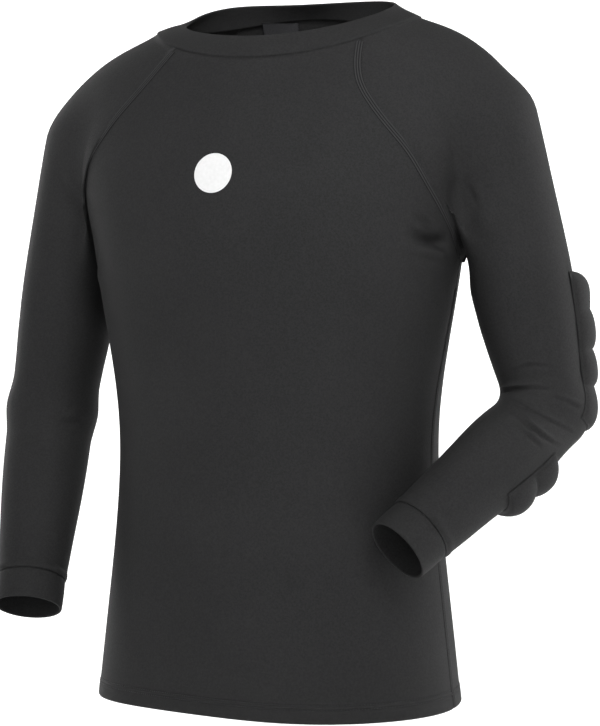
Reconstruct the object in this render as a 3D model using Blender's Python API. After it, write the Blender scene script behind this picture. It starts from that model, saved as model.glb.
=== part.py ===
"""Padded compression shirt with three-quarter raglan sleeves, filled out as when worn. Metres, +Z up.

The origin is the middle of the neck opening, where a wearer's shoulders hold the shirt. The front faces -Y
and the wearer's left is +X. Every piece of cloth lies on one form: a trunk and two arms of a general figure,
blended into each other. Seams are curves on that form, a panel is a grid of points between its seams, and its
wall is those points and the same points moved inwards.
"""

import bpy
import numpy as np

# Cloth
CLOTH = 0.0015
SEAM_GAP = 0.0003
HEM_DEPTH = 0.017
HEM_RISE = 0.0009
HEM_HEIGHT = -0.6480
HEM_LEAN = 0.004
HEM_DIP = 0.007
HEM_DIP_TURN = 35.0

# The form's trunk, from the neck down to below the hem
# height, half_width, front, back, middle_y, squareness
TRUNK = (
    (0.040, 0.080, 0.030, 0.084, 0.004, 1.60),
    (0.024, 0.098, 0.044, 0.092, 0.003, 1.60),
    (0.010, 0.118, 0.054, 0.099, 0.001, 1.58),
    (0.000, 0.132, 0.061, 0.103, 0.000, 1.56),
    (-0.012, 0.159, 0.069, 0.107, -0.001, 1.60),
    (-0.024, 0.182, 0.077, 0.111, -0.002, 1.66),
    (-0.044, 0.205, 0.087, 0.116, -0.002, 1.80),
    (-0.075, 0.212, 0.099, 0.121, -0.003, 2.00),
    (-0.115, 0.205, 0.113, 0.126, -0.005, 2.15),
    (-0.160, 0.194, 0.124, 0.127, -0.007, 2.20),
    (-0.205, 0.183, 0.127, 0.123, -0.009, 2.20),
    (-0.240, 0.1775, 0.125, 0.119, -0.010, 2.20),
    (-0.295, 0.1675, 0.118, 0.112, -0.010, 2.20),
    (-0.380, 0.155, 0.108, 0.106, -0.010, 2.20),
    (-0.470, 0.159, 0.107, 0.111, -0.010, 2.20),
    (-0.560, 0.168, 0.112, 0.119, -0.010, 2.20),
    (-0.650, 0.1775, 0.119, 0.126, -0.010, 2.20),
    (-0.700, 0.1825, 0.122, 0.129, -0.010, 2.20),
)

# The form's arms: joints, then the radius by the distance from the shoulder along the arm
ARM_JOINTS = {
    "left": {
        "shoulder": (0.204, 0.000, -0.103),
        "elbow": (0.2605, 0.008, -0.3745),
        "cuff": (0.145, -0.1165, -0.4975),
    },
    "right": {
        "shoulder": (-0.198, 0.000, -0.111),
        "elbow": (-0.251, 0.016, -0.380),
        "cuff": (-0.2355, -0.072, -0.564),
    },
}
# distance, left_radius, right_radius
ARM = (
    (0.000, 0.0475, 0.0475),
    (0.030, 0.0485, 0.0485),
    (0.060, 0.0492, 0.0492),
    (0.100, 0.0497, 0.0497),
    (0.140, 0.0495, 0.0495),
    (0.196, 0.0458, 0.0462),
    (0.230, 0.0418, 0.0440),
    (0.280, 0.0370, 0.0430),
    (0.330, 0.0405, 0.0418),
    (0.375, 0.0382, 0.0390),
    (0.410, 0.0358, 0.0362),
    (0.450, 0.0330, 0.0330),
    (0.475, 0.0295, 0.0300),
    (0.550, 0.0285, 0.0290),
)
LIMB_END = 0.26
SLEEVE_LENGTH = 0.449
CUFF_WIDTH = 0.026
CUFF_WALL = 0.0024
CUFF_RISE = 0.0008
CUFF_STEPS = 3
ELBOW_BEND_RADIUS = 0.052
BLEND_UNDERARM = 0.004
BLEND_SHOULDER = 0.030
BLEND_HEIGHTS = (-0.210, -0.120)
LEAN = 0.027
LEAN_HEIGHTS = (-0.260, -0.100)
ELBOW_BLEND = 0.016

# Neckband: its seam on the form, and its rim, each by its half sizes and its heights at front, side and back
NECK_MIDDLE = (0.008, 0.003)
NECK_SEAM = {"half_width": 0.130, "half_depth": 0.092, "heights": (-0.044, -0.001, 0.024)}
NECK_RIM = {"half_width": 0.103, "half_depth": 0.077, "heights": (-0.022, 0.013, 0.036)}
BAND_WALL = 0.0026
BAND_RISE = 0.0006
BAND_BULGE = 0.0022
BAND_STEPS = 4

# Raglan seams as seen from the front: distance from the centre line, height, and how far the shirt is
# turned there
# x, height, shift
RAGLAN_FRONT = (
    (0.110, -0.070, -0.006),
    (0.128, -0.094, -0.010),
    (0.146, -0.116, -0.011),
    (0.162, -0.137, -0.011),
    (0.172, -0.162, -0.008),
    (0.178, -0.186, -0.004),
    (0.180, -0.206, -0.001),
)
RAGLAN_BACK = (
    (0.096, -0.040, 0.000),
    (0.118, -0.084, 0.000),
    (0.149, -0.131, 0.000),
    (0.170, -0.168, 0.000),
    (0.180, -0.200, 0.000),
)
RAGLAN_NECK_ANGLE = {"front": 44.0, "back": 142.0}
UNDERARM_SPAN = (0.165, 0.205)
UNDERARM_Y = -0.004
FREE_SLEEVE = 0.195
SIDE_SEAM_SHIFT = -0.012

# Folds that fan out from the inside of the elbow: how far each drifts along the arm by the far side, its
# height, its width, and where round the arm it ends, in degrees from the inside of the elbow
# drift, height, width, ends
FOLDS = (
    (-0.046, 0.0016, 0.0075, 95.0),
    (-0.008, 0.0022, 0.0070, 115.0),
    (0.040, 0.0020, 0.0070, 120.0),
    (0.078, 0.0014, 0.0080, 100.0),
)
FOLD_SHARE = {"left": 1.0, "right": 0.45}

# Elbow pads: where each starts along the outside of the elbow, counted from its tip, and its foam cells
# start, cell, cells
PADS = {"upper": (-0.141, 0.038, 4), "lower": (0.049, 0.0405, 2)}
PAD_HALF_TURN = 62.0
PAD_RIM = 0.0018
PAD_GROOVE = 0.0048
PAD_CROWN = 0.0128
PAD_LIFT = 0.0010
CELL_STEPS = 4
PAD_STEPS_ACROSS = 10

# Neck label, on the inside of the back
LABEL = {
    "middle_x": -0.020,
    "width": 0.034,
    "drop": 0.0025,
    "height": 0.020,
    "wall": 0.001,
    "clear": 0.0012,
}

# Grid counts
RAGLAN_STEPS = 11
NECK_STEPS_ON_SLEEVE = 8
PANEL_STEPS_ACROSS = 16
SIDE_SEAM_STEPS = 17
CAP_STEPS = 11
CAP_ROUNDS = 8
CAP_CLEAR = 0.003
RING_STEPS = 2 * RAGLAN_STEPS + NECK_STEPS_ON_SLEEVE
RING_SPANS = ((0.215, 4), (0.310, 11), (SLEEVE_LENGTH, 7))


def unit(v):
    return v / np.maximum(np.linalg.norm(v, axis=-1, keepdims=True), 1e-12)


def spline(knots, values):
    """A natural cubic spline through the values. The function it returns gives values and slopes."""
    order = np.argsort(knots)
    k, v = np.asarray(knots, float)[order], np.asarray(values, float)[order]
    if v.ndim == 1:
        v = v[:, None]
    h = np.diff(k)
    count = len(k)
    system = np.eye(count)
    right = np.zeros_like(v)
    for i in range(1, count - 1):
        system[i, i - 1 : i + 2] = h[i - 1], 2 * (h[i - 1] + h[i]), h[i]
        right[i] = 6 * ((v[i + 1] - v[i]) / h[i] - (v[i] - v[i - 1]) / h[i - 1])
    bend = np.linalg.solve(system, right)

    def at(x):
        x = np.clip(x, k[0], k[-1])
        i = np.clip(np.searchsorted(k, x, side="right") - 1, 0, count - 2)
        span = h[i][..., None]
        b = ((x - k[i])[..., None]) / span
        a = 1 - b
        value = a * v[i] + b * v[i + 1] + ((a**3 - a) * bend[i] + (b**3 - b) * bend[i + 1]) * span**2 / 6
        curve = (1 - 3 * a**2) * bend[i] + (3 * b**2 - 1) * bend[i + 1]
        slope = (v[i + 1] - v[i]) / span + curve * span / 6
        return value, slope

    return at


def table_spline(table):
    rows = np.array(table)
    return spline(rows[:, 0], rows[:, 1:])


trunk_at = table_spline(TRUNK)
arm_radius_at = table_spline(ARM)


def smooth_least(a, b, reach):
    """The lesser of two distances, rounded where they are within reach of each other."""
    h = np.clip(0.5 + 0.5 * (b - a) / reach, 0, 1)
    return b + (a - b) * h - reach * h * (1 - h)


def ramp(value, low, high):
    share = np.clip((value - low) / (high - low), 0, 1)
    return share * share * (3 - 2 * share)


def trunk_distance(p):
    """About how far points are outside the trunk: the radial distance to the section at their height,
    corrected for the slope of the wall there. The shoulders lean, the wearer's left one up."""
    values, slopes = trunk_at(p[..., 2] - LEAN * p[..., 0] * ramp(p[..., 2], *LEAN_HEIGHTS))
    width, front, back, middle, power = np.moveaxis(values, -1, 0)
    y = p[..., 1] - middle
    is_front = y < 0
    depth = np.where(is_front, front, back)
    depth_slope = np.where(is_front, slopes[..., 1], slopes[..., 2])
    sx = (np.abs(p[..., 0]) / width) ** power
    sy = (np.abs(y) / depth) ** power
    level = np.maximum(sx + sy, 1e-9) ** (1 / power)
    reach = np.hypot(p[..., 0], y)
    share = sx / np.maximum(sx + sy, 1e-9)
    steepness = share * slopes[..., 0] + (1 - share) * depth_slope
    return (reach - reach / level) / np.sqrt(1 + steepness**2)


class Arm:
    """One arm of the form: two tapered limbs that meet in the elbow."""

    def __init__(self, side):
        joints = ARM_JOINTS[side]
        self.side = side
        self.sign = 1.0 if side == "left" else -1.0
        self.radius_column = 0 if side == "left" else 1
        self.shoulder, self.elbow, cuff = (np.array(joints[k]) for k in ("shoulder", "elbow", "cuff"))
        self.upper = unit(self.elbow - self.shoulder)
        self.lower = unit(cuff - self.elbow)
        self.upper_length = np.linalg.norm(self.elbow - self.shoulder)
        self.turn = np.arccos(self.upper @ self.lower)
        self.hinge = unit(np.cross(self.upper, self.lower))
        self.inner = unit(self.lower - (self.lower @ self.upper) * self.upper)
        self.bend_start = self.upper_length - ELBOW_BEND_RADIUS * np.tan(self.turn / 2)
        self.bend_middle = self.bend_start + ELBOW_BEND_RADIUS * self.turn / 2
        medial = np.array([-self.sign, 0.0, 0.0])
        self.medial = unit(medial - (medial @ self.upper) * self.upper)
        self.forward = np.cross(self.upper, self.medial) * -self.sign
        self.elbow_inside = np.arctan2(self.inner @ self.forward, self.inner @ self.medial)

    def radius(self, s):
        return arm_radius_at(s)[0][..., self.radius_column]

    def limb_distance(self, p, start, direction, from_shoulder):
        along = np.clip((p - start) @ direction, 0, LIMB_END)
        gap = np.linalg.norm(p - start - along[..., None] * direction, axis=-1)
        return gap - self.radius(along + from_shoulder)

    def upper_distance(self, p):
        return self.limb_distance(p, self.shoulder, self.upper, 0.0)

    def distance(self, p):
        lower = self.limb_distance(p, self.elbow, self.lower, self.upper_length)
        return smooth_least(self.upper_distance(p), lower, ELBOW_BLEND)

    def station(self, s):
        """The middle of the sleeve and its direction at a distance s from the shoulder, round the elbow."""
        s = np.asarray(s, float)[..., None]
        pivot = self.shoulder + self.bend_start * self.upper + ELBOW_BEND_RADIUS * self.inner
        angle = np.clip((s - self.bend_start) / ELBOW_BEND_RADIUS, 0, self.turn)
        on_bend = pivot + ELBOW_BEND_RADIUS * (np.sin(angle) * self.upper - np.cos(angle) * self.inner)
        after = np.maximum(s - self.bend_start - ELBOW_BEND_RADIUS * self.turn, 0)
        middle = np.where(s < self.bend_start, self.shoulder + s * self.upper, on_bend + after * self.lower)
        return middle, np.cos(angle) * self.upper + np.sin(angle) * self.inner

    def directions(self, s, turned):
        """Directions out of the sleeve's middle: turned is the angle from the underarm side, by the front."""
        angle = np.clip((np.asarray(s) - self.bend_start) / ELBOW_BEND_RADIUS, 0, self.turn)[..., None]
        start = np.cos(turned)[..., None] * self.medial + np.sin(turned)[..., None] * self.forward
        along_hinge = (start @ self.hinge)[..., None] * self.hinge
        swung = start * np.cos(angle) + np.cross(self.hinge, start) * np.sin(angle)
        return swung + along_hinge * (1 - np.cos(angle))

    def fold(self, s, turned):
        """How far the folds raise the sleeve at a distance s and an angle round it."""
        around = np.degrees(np.abs((turned - self.elbow_inside + np.pi) % (2 * np.pi) - np.pi))
        height = 0.0
        for drift, rise, width, ends in FOLDS:
            middle = self.bend_middle + drift * around / 180
            window = np.clip((around - 20) / 30, 0, 1) * np.clip((ends - around) / 30, 0, 1)
            height = height + rise * window * np.exp(-(((s - middle) / width) ** 2))
        return height * FOLD_SHARE[self.side]

    def along_outside(self, w):
        """The distance s of points a length w beyond the tip of the elbow, measured along the outside."""
        shrink = ELBOW_BEND_RADIUS / (ELBOW_BEND_RADIUS + self.radius(np.array(self.upper_length)))
        half = ELBOW_BEND_RADIUS * self.turn / 2
        on_bend = np.clip(w * shrink, -half, half)
        return self.bend_middle + on_bend + (w - on_bend / shrink)


ARMS = {side: Arm(side) for side in ("left", "right")}


def body(p):
    """Distance of points from the trunk and upper arms, negative inside."""
    d = trunk_distance(p)
    reach = BLEND_UNDERARM + (BLEND_SHOULDER - BLEND_UNDERARM) * ramp(p[..., 2], *BLEND_HEIGHTS)
    for arm in ARMS.values():
        d = smooth_least(d, arm.upper_distance(p), reach)
    return d


def slope_of(form, p):
    step = 0.0005
    return np.stack([form(p + step * axis) - form(p - step * axis) for axis in np.eye(3)], -1) / (2 * step)


def outward(form, p):
    return unit(slope_of(form, p))


def settle(form, p, rounds=24):
    """Moves points onto a form, straight towards it."""
    for _ in range(rounds):
        slope = slope_of(form, p)
        size = np.maximum(np.linalg.norm(slope, axis=-1, keepdims=True), 0.4)
        p = p - np.clip(form(p)[..., None] / size, -0.006, 0.006) * unit(slope)
    return p


def cast(form, start, direction, reach=0.26):
    """Where rays from inside a form first leave it."""
    start, direction = np.broadcast_arrays(start, direction)
    travel = np.arange(0, reach, 0.0015)
    outside = np.stack([form(start + t * direction) > 0 for t in travel], -1)
    first = np.maximum(np.argmax(outside, -1), 1)
    low, high = travel[first - 1], travel[first]
    for _ in range(24):
        middle = (low + high) / 2
        out = form(start + middle[..., None] * direction) > 0
        high = np.where(out, middle, high)
        low = np.where(out, low, middle)
    return start + high[..., None] * direction


def evenly(curve, steps):
    """A curve's points, placed again at even distances along it."""
    lengths = np.concatenate([[0], np.cumsum(np.linalg.norm(np.diff(curve, axis=0), axis=1))])
    wanted = np.linspace(0, lengths[-1], steps + 1)
    return np.stack([np.interp(wanted, lengths, curve[:, i]) for i in range(3)], -1)


def neck_ring(ring, angles):
    """Points of a neck curve. Angle 0 is the front, 90 degrees the wearer's left and 180 the back."""
    front, side, back = ring["heights"]
    mean, tilt, saddle = (front + 2 * side + back) / 4, (front - back) / 2, (front - 2 * side + back) / 4
    x = NECK_MIDDLE[0] + ring["half_width"] * np.sin(angles)
    y = NECK_MIDDLE[1] - ring["half_depth"] * np.cos(angles)
    height = mean + tilt * np.cos(angles) + saddle * np.cos(2 * angles)
    return np.stack([x, y, height], -1)


def neck_seam(angles):
    """The neckband's seam, on the body."""
    return settle(body, neck_ring(NECK_SEAM, angles))


def neck_angles(part):
    """The angles of a piece's points round the neck."""
    front, back = np.radians(RAGLAN_NECK_ANGLE["front"]), np.radians(RAGLAN_NECK_ANGLE["back"])
    spans = {
        "front": (-front, front, PANEL_STEPS_ACROSS),
        "left": (front, back, NECK_STEPS_ON_SLEEVE),
        "back": (back, 2 * np.pi - back, PANEL_STEPS_ACROSS),
        "right": (-front, -back, NECK_STEPS_ON_SLEEVE),
    }
    start, end, steps = spans[part]
    return np.linspace(start, end, steps + 1)


def underarm(sign):
    """The top of the arch under an arm, where the side seam, the sleeve seam and both raglan seams meet."""
    x = np.linspace(*UNDERARM_SPAN, 81)
    start = np.stack([sign * x, np.full(81, UNDERARM_Y), np.full(81, -0.15)], -1)
    arch = cast(body, start, np.array([0.0, 0.0, -1.0]))
    return arch[np.argmax(arch[:, 2])]


def raglan(sign, face):
    """A raglan seam from the neckband to the underarm, as points on the body."""
    turn = np.radians(RAGLAN_NECK_ANGLE[face]) * sign
    neck = neck_seam(np.array([turn]))[0]
    end = underarm(sign)
    x, height, shift = np.array(RAGLAN_FRONT if face == "front" else RAGLAN_BACK).T
    guide = np.vstack([neck[[0, 2]], np.stack([sign * x + shift, height], -1), end[[0, 2]]])
    lengths = np.concatenate([[0], np.cumsum(np.linalg.norm(np.diff(guide, axis=0), axis=1))])
    share = 1 - (1 - np.linspace(0, 1, 321)) ** 2
    flat = spline(lengths, guide)(share * lengths[-1])[0][1:-1]
    inside = np.stack([flat[:, 0], np.full(len(flat), UNDERARM_Y), flat[:, 1]], -1)
    points = cast(body, inside, np.array([0.0, -1.0 if face == "front" else 1.0, 0.0]))
    return evenly(np.vstack([neck, points, end]), RAGLAN_STEPS)


def hem_height(x, share_forward):
    return HEM_HEIGHT + HEM_LEAN * x - HEM_DIP * np.clip(share_forward, 0, 1) ** 2


def side_seam(sign):
    """From the hem up to the underarm."""
    top = underarm(sign)
    width = trunk_at(np.array(HEM_HEIGHT))[0][0]
    hem = hem_height(sign * width, sign * np.sin(np.radians(HEM_DIP_TURN)))
    line = hem + HEM_DEPTH
    heights = np.concatenate([[hem, line - 0.0012], np.linspace(line, top[2], SIDE_SEAM_STEPS - 1)])
    values = trunk_at(heights)[0]
    blend = np.clip((top[2] - heights) / 0.20, 0, 1)
    y = top[1] + (values[:, 3] + SIDE_SEAM_SHIFT - top[1]) * blend * blend * (3 - 2 * blend)
    points = settle(body, np.stack([sign * values[:, 0], y, heights], -1))
    points[-1] = top
    return points


def lift(turn, height):
    """Points on the trunk at a turn about its middle: 0 is the front, 90 degrees the wearer's left."""
    width, front, back, middle, power = np.moveaxis(trunk_at(height)[0], -1, 0)
    x, y = np.sin(turn), -np.cos(turn)
    depth = np.where(y < 0, front, back)
    level = ((np.abs(x) / width) ** power + (np.abs(y) / depth) ** power) ** (1 / power)
    return np.stack([x / level, middle + y / level, height], -1)


def coons(left, right, bottom, top):
    """Fills a grid between four edges. left and right run upwards, bottom and top from left to right."""
    s = np.linspace(0, 1, len(bottom))[None, :, None]
    w = np.linspace(0, 1, len(left))[:, None, None]
    sides = (1 - s) * left[:, None] + s * right[:, None]
    ends = (1 - w) * bottom[None] + w * top[None]
    corners = (1 - w) * ((1 - s) * bottom[0] + s * bottom[-1]) + w * ((1 - s) * top[0] + s * top[-1])
    return sides + ends - corners


def panel(face):
    """The front or back panel as rows of points from the hem up, between its side seams and raglan seams."""
    first, last = (-1.0, 1.0) if face == "front" else (1.0, -1.0)
    edges = [np.vstack([side_seam(sign), raglan(sign, face)[::-1][1:]]) for sign in (first, last)]
    top = neck_seam(neck_angles(face))

    def flat(points):
        middle = trunk_at(points[..., 2])[0][..., 3]
        turned = np.arctan2(points[..., 0], -(points[..., 1] - middle))
        return np.stack([turned % (2 * np.pi) if face == "back" else turned, points[..., 2]], -1)

    ends = [flat(edge[0])[0] for edge in edges]
    turned = np.linspace(ends[0], ends[1], PANEL_STEPS_ACROSS + 1)
    width = trunk_at(np.array(HEM_HEIGHT))[0][0]
    forward = np.cos(turned - np.radians(HEM_DIP_TURN))
    bottom = lift(turned, hem_height(width * np.sin(turned), forward))
    bottom[0], bottom[-1] = edges[0][0], edges[1][0]
    sides = [edges[0], edges[1], bottom, top]
    grid = coons(*(flat(edge) for edge in sides))
    guide = lift(grid[..., 0], grid[..., 1])
    error = [guide[:, 0], guide[:, -1], guide[0], guide[-1]]
    points = settle(body, guide + coons(*(edge - was for edge, was in zip(sides, error))))
    points[:, 0], points[:, -1], points[0], points[-1] = sides
    return points


def arm_ring(arm, s, turned):
    """Points round a sleeve at distances s along it, with its folds, and their normals."""
    form = body if np.all(s < FREE_SLEEVE) else arm.distance
    middle, _ = arm.station(s)
    direction = arm.directions(s, turned)
    points = cast(form, middle, direction, reach=0.09)
    normals = outward(form, points)
    return points + arm.fold(s, turned)[..., None] * normals, normals


def sleeve(arm):
    """The sleeve as closed rings of points and their normals, from its seams and neckband to the cuff."""
    front, back = raglan(arm.sign, "front"), raglan(arm.sign, "back")
    neck = neck_seam(neck_angles(arm.side))
    loop = np.vstack([front[::-1], neck[1:-1], back[:-1]])
    around = np.linspace(0, 2 * np.pi, RING_STEPS, endpoint=False)
    start = (underarm(arm.sign) - arm.shoulder) @ arm.upper + 0.026
    stations = np.array([start])
    for end, steps in RING_SPANS:
        stations = np.append(stations, np.linspace(stations[-1], end, steps + 1)[1:])
    rings = [arm_ring(arm, np.full(RING_STEPS, s), around)[0] for s in stations]
    middle, heart = arm.station(start)[0], loop.mean(0)
    from_loop, from_ring = unit(loop - heart), unit(rings[0] - middle)
    angle = np.arccos(np.clip(np.sum(from_loop * from_ring, -1), -1, 1))[:, None]
    column = np.arange(RING_STEPS)
    from_underarm = np.minimum(column, RING_STEPS - column)
    on_body = ramp(from_underarm, RAGLAN_STEPS * 0.5, RAGLAN_STEPS)[:, None]
    cap = [loop]
    for v in np.linspace(0, 1, CAP_STEPS + 1)[1:-1]:
        turned = (np.sin((1 - v) * angle) * from_loop + np.sin(v * angle) * from_ring) / np.sin(angle)
        thrown = cast(body, heart + v * (middle - heart), unit(turned))
        cap.append((1 - on_body) * ((1 - v) * loop + v * rings[0]) + on_body * thrown)
    points = np.vstack([cap, rings])
    inside = slice(1, CAP_STEPS)
    clear = CAP_CLEAR * (1 - on_body[:, 0]) * np.minimum(np.arange(1, CAP_STEPS) / 3, 1)[:, None]
    for _ in range(CAP_ROUNDS):
        near = points[:CAP_STEPS - 1] + points[2:CAP_STEPS + 1]
        near = near + np.roll(points, 1, 1)[inside] + np.roll(points, -1, 1)[inside]
        points[inside] = near / 4
        points[inside] += on_body * (settle(body, points[inside], 3) - points[inside])
        short = clear - trunk_distance(points[inside])
        points[inside] += np.clip(short, 0, 0.005)[..., None] * outward(trunk_distance, points[inside])
    normals = grid_normals(points)
    normals[0] = outward(body, loop)
    normals[0, 0] = outward(arm.upper_distance, loop[0])
    return points, normals


def edge_moves(edge, beyond, normals, wrap=False):
    """Half of a seam's gap, from an edge towards the row beyond it, along the cloth."""
    along = np.roll(edge, -1, 0) - np.roll(edge, 1, 0) if wrap else np.gradient(edge, axis=0)
    across = np.cross(normals, unit(along))
    across *= np.sign(np.sum(across * (beyond - edge), -1, keepdims=True))
    return across * SEAM_GAP / 2


def inset(points, normals, wrap=False):
    """Moves a piece's edges in from its seams."""
    moved = points.copy()
    moved[0] += edge_moves(points[0], points[1], normals[0], wrap)
    moved[-1] += edge_moves(points[-1], points[-2], normals[-1], wrap)
    if not wrap:
        moved[:, 0] += edge_moves(points[:, 0], points[:, 1], normals[:, 0])
        moved[:, -1] += edge_moves(points[:, -1], points[:, -2], normals[:, -1])
    return moved


def grid_normals(points):
    """Normals of a grid whose rows are rings, pointing away from the middle of the rings."""
    along = np.roll(points, -1, 1) - np.roll(points, 1, 1)
    across = np.gradient(points, axis=0)
    normals = unit(np.cross(along, across))
    away = points - points.mean((0, 1))
    return normals * np.sign(np.sum(normals * away, -1).sum())


def neckband():
    """The neckband's outer and inner points, from its seam to its rim."""
    parts = [neck_angles("front"), neck_angles("left"), neck_angles("back"), neck_angles("right")[::-1]]
    angles = np.concatenate([part[:-1] for part in parts])
    seam, rim = neck_seam(angles), neck_ring(NECK_RIM, angles)
    v = np.linspace(0, 1, BAND_STEPS + 1)[:, None, None]
    straight = seam + v * (rim - seam)
    normals = grid_normals(straight)
    normals[0] = outward(body, seam)
    normals[1] = unit(normals[0] + normals[2])
    outer = straight + (BAND_RISE + BAND_BULGE * np.sin(np.pi * v)) * normals
    outer[0] += edge_moves(seam, rim, normals[0], wrap=True)
    return outer, outer - BAND_WALL * normals


def cuff(arm):
    """The cuff's outer and inner points, from the sleeve's end."""
    around = np.linspace(0, 2 * np.pi, RING_STEPS, endpoint=False)
    stations = np.linspace(SLEEVE_LENGTH, SLEEVE_LENGTH + CUFF_WIDTH, CUFF_STEPS + 1)
    rows, normals = zip(*(arm_ring(arm, np.full(RING_STEPS, s), around) for s in stations))
    rows, normals = np.array(rows), np.array(normals)
    rows[0] += edge_moves(rows[0], rows[1], normals[0], wrap=True)
    outer = rows + CUFF_RISE * normals
    return outer, outer - CUFF_WALL * normals


def pad_height(across, cell, end):
    """How thick a pad is, across it from -1 to 1, along one cell from 0 to 1 and along it from 0 to 1."""
    edge = (1 - np.abs(across) ** 8) * (1 - np.abs(2 * end - 1) ** 24)
    pillow = (1 - np.abs(2 * cell - 1) ** 2.4) * (1 - np.abs(across) ** 3.5)
    return PAD_RIM + (PAD_GROOVE - PAD_RIM) * edge + (PAD_CROWN - PAD_GROOVE) * pillow**0.8


def elbow_pad(arm, name):
    """A pad's outer and inner points: a plain inside just above the sleeve, and foam cells raised outside."""
    start, cell, cells = PADS[name]
    steps = cells * CELL_STEPS
    w = start + cell * np.arange(steps + 1) / CELL_STEPS
    across = np.linspace(-1, 1, PAD_STEPS_ACROSS + 1)
    turned = arm.elbow_inside + np.pi + np.radians(PAD_HALF_TURN) * across
    rows = [arm_ring(arm, np.full(len(across), s), turned) for s in arm.along_outside(w)]
    base, normals = np.array([row[0] for row in rows]), np.array([row[1] for row in rows])
    count = np.arange(steps + 1)
    share = np.where(count == steps, 1.0, (count % CELL_STEPS) / CELL_STEPS)
    height = pad_height(across[None], share[:, None], (count / steps)[:, None])[..., None]
    inner = base + PAD_LIFT * normals
    return inner + height * normals, inner


def neck_label():
    """The label's two faces, on the inside of the back under the neckband."""
    top = neck_seam(np.array([np.pi]))[0][2] - LABEL["drop"]
    x = LABEL["middle_x"] + LABEL["width"] * np.linspace(-0.5, 0.5, 5)
    height = top - LABEL["height"] * np.linspace(0, 1, 4)
    x, height = np.meshgrid(x, height)
    start = np.stack([x, np.zeros_like(x), height], -1)
    points = cast(body, start, np.array([0.0, 1.0, 0.0]))
    normals = outward(body, points)
    outer = points - (CLOTH + LABEL["clear"]) * normals
    return outer, outer - LABEL["wall"] * normals


def material(name, colour, roughness):
    made = bpy.data.materials.new(name)
    made.use_nodes = True
    shader = made.node_tree.nodes["Principled BSDF"]
    shader.inputs["Base Color"].default_value = (*colour, 1.0)
    shader.inputs["Roughness"].default_value = roughness
    shader.inputs["Metallic"].default_value = 0.0
    return made


def piece(name, outer, inner, finish, wrap=False):
    """One closed piece of cloth between two grids of points. wrap closes each row into a ring."""
    rows, columns = outer.shape[:2]
    last = columns if wrap else columns - 1
    count = rows * columns
    cells = [(i, j) for i in range(rows - 1) for j in range(last)]
    corners = ((0, 0), (0, 1), (1, 1), (1, 0))
    outside = [tuple((i + a) * columns + (j + b) % columns for a, b in corners) for i, j in cells]
    inside = [tuple(k + count for k in reversed(face)) for face in outside]
    top = (rows - 1) * columns
    border = [(j, (j + 1) % columns) for j in range(last)]
    border += [(top + (j + 1) % columns, top + j) for j in range(last)]
    if not wrap:
        border += [((i + 1) * columns, i * columns) for i in range(rows - 1)]
        border += [(i * columns + last, (i + 1) * columns + last) for i in range(rows - 1)]
    faces = outside + inside + [(b, a, a + count, b + count) for a, b in border]
    points = np.vstack([outer.reshape(-1, 3), inner.reshape(-1, 3)])
    sample = outside[len(outside) // 2]
    a, b, c, d = points[list(sample)]
    if np.cross(c - a, d - b) @ (a - points[sample[0] + count]) < 0:
        faces = [tuple(reversed(face)) for face in faces]
    mesh = bpy.data.meshes.new(name)
    mesh.from_pydata(points.tolist(), [], faces)
    mesh.update()
    mesh.shade_smooth()
    mesh.materials.append(finish)
    made = bpy.data.objects.new(name, mesh)
    bpy.context.scene.collection.objects.link(made)
    return made


def main():
    for old in list(bpy.data.objects):
        bpy.data.objects.remove(old)
    jersey = material("jersey", (0.020, 0.020, 0.021), 0.62)
    band_cloth = material("band_cloth", (0.018, 0.018, 0.019), 0.65)
    pad_cloth = material("pad_cloth", (0.022, 0.022, 0.023), 0.58)
    label_cloth = material("label_cloth", (0.030, 0.030, 0.032), 0.50)

    for face in ("front", "back"):
        points = panel(face)
        normals = outward(body, points)
        for column in (0, -1):
            normals[SIDE_SEAM_STEPS, column] = outward(trunk_distance, points[SIDE_SEAM_STEPS, column])
        points = inset(points, normals)
        outer, inner = points.copy(), points - CLOTH * normals
        outer[:2] += HEM_RISE * normals[:2]
        inner[:2] -= HEM_RISE * normals[:2]
        piece(face, outer, inner, jersey)

    for side, arm in ARMS.items():
        points, normals = sleeve(arm)
        points = inset(points, normals, wrap=True)
        piece(f"sleeve_{side}", points, points - CLOTH * normals, jersey, wrap=True)
        piece(f"cuff_{side}", *cuff(arm), band_cloth, wrap=True)
        for name in PADS:
            piece(f"elbow_pad_{side}_{name}", *elbow_pad(arm, name), pad_cloth)

    piece("neckband", *neckband(), band_cloth, wrap=True)
    piece("neck_label", *neck_label(), label_cloth)


main()
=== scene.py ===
import bpy
import numpy as np
from mathutils import Matrix


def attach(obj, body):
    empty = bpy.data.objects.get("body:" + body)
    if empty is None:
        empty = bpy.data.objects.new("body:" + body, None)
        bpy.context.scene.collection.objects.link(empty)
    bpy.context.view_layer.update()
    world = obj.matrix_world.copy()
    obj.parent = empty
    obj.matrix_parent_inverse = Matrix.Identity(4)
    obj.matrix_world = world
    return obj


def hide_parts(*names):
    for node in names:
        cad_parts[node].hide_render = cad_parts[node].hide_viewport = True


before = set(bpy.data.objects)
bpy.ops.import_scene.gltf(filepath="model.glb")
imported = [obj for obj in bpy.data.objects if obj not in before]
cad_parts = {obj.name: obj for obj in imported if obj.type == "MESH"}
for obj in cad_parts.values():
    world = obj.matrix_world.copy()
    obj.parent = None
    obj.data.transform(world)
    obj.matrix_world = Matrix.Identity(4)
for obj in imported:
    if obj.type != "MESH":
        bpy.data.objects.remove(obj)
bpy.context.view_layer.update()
print("frame loaded")


# Camera: at the height of the shirt's middle, a little to the wearer's left of the front
cameraSet = {
    "turn": 18.0,  # degrees round from the front
    "distance": 1.89,
    "aim": (0.0, 0.0, -0.353),
    "lens": 116.8,
    "sensor": 36.0,
    "shift": (0.0317, 0.0450),
}

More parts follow.
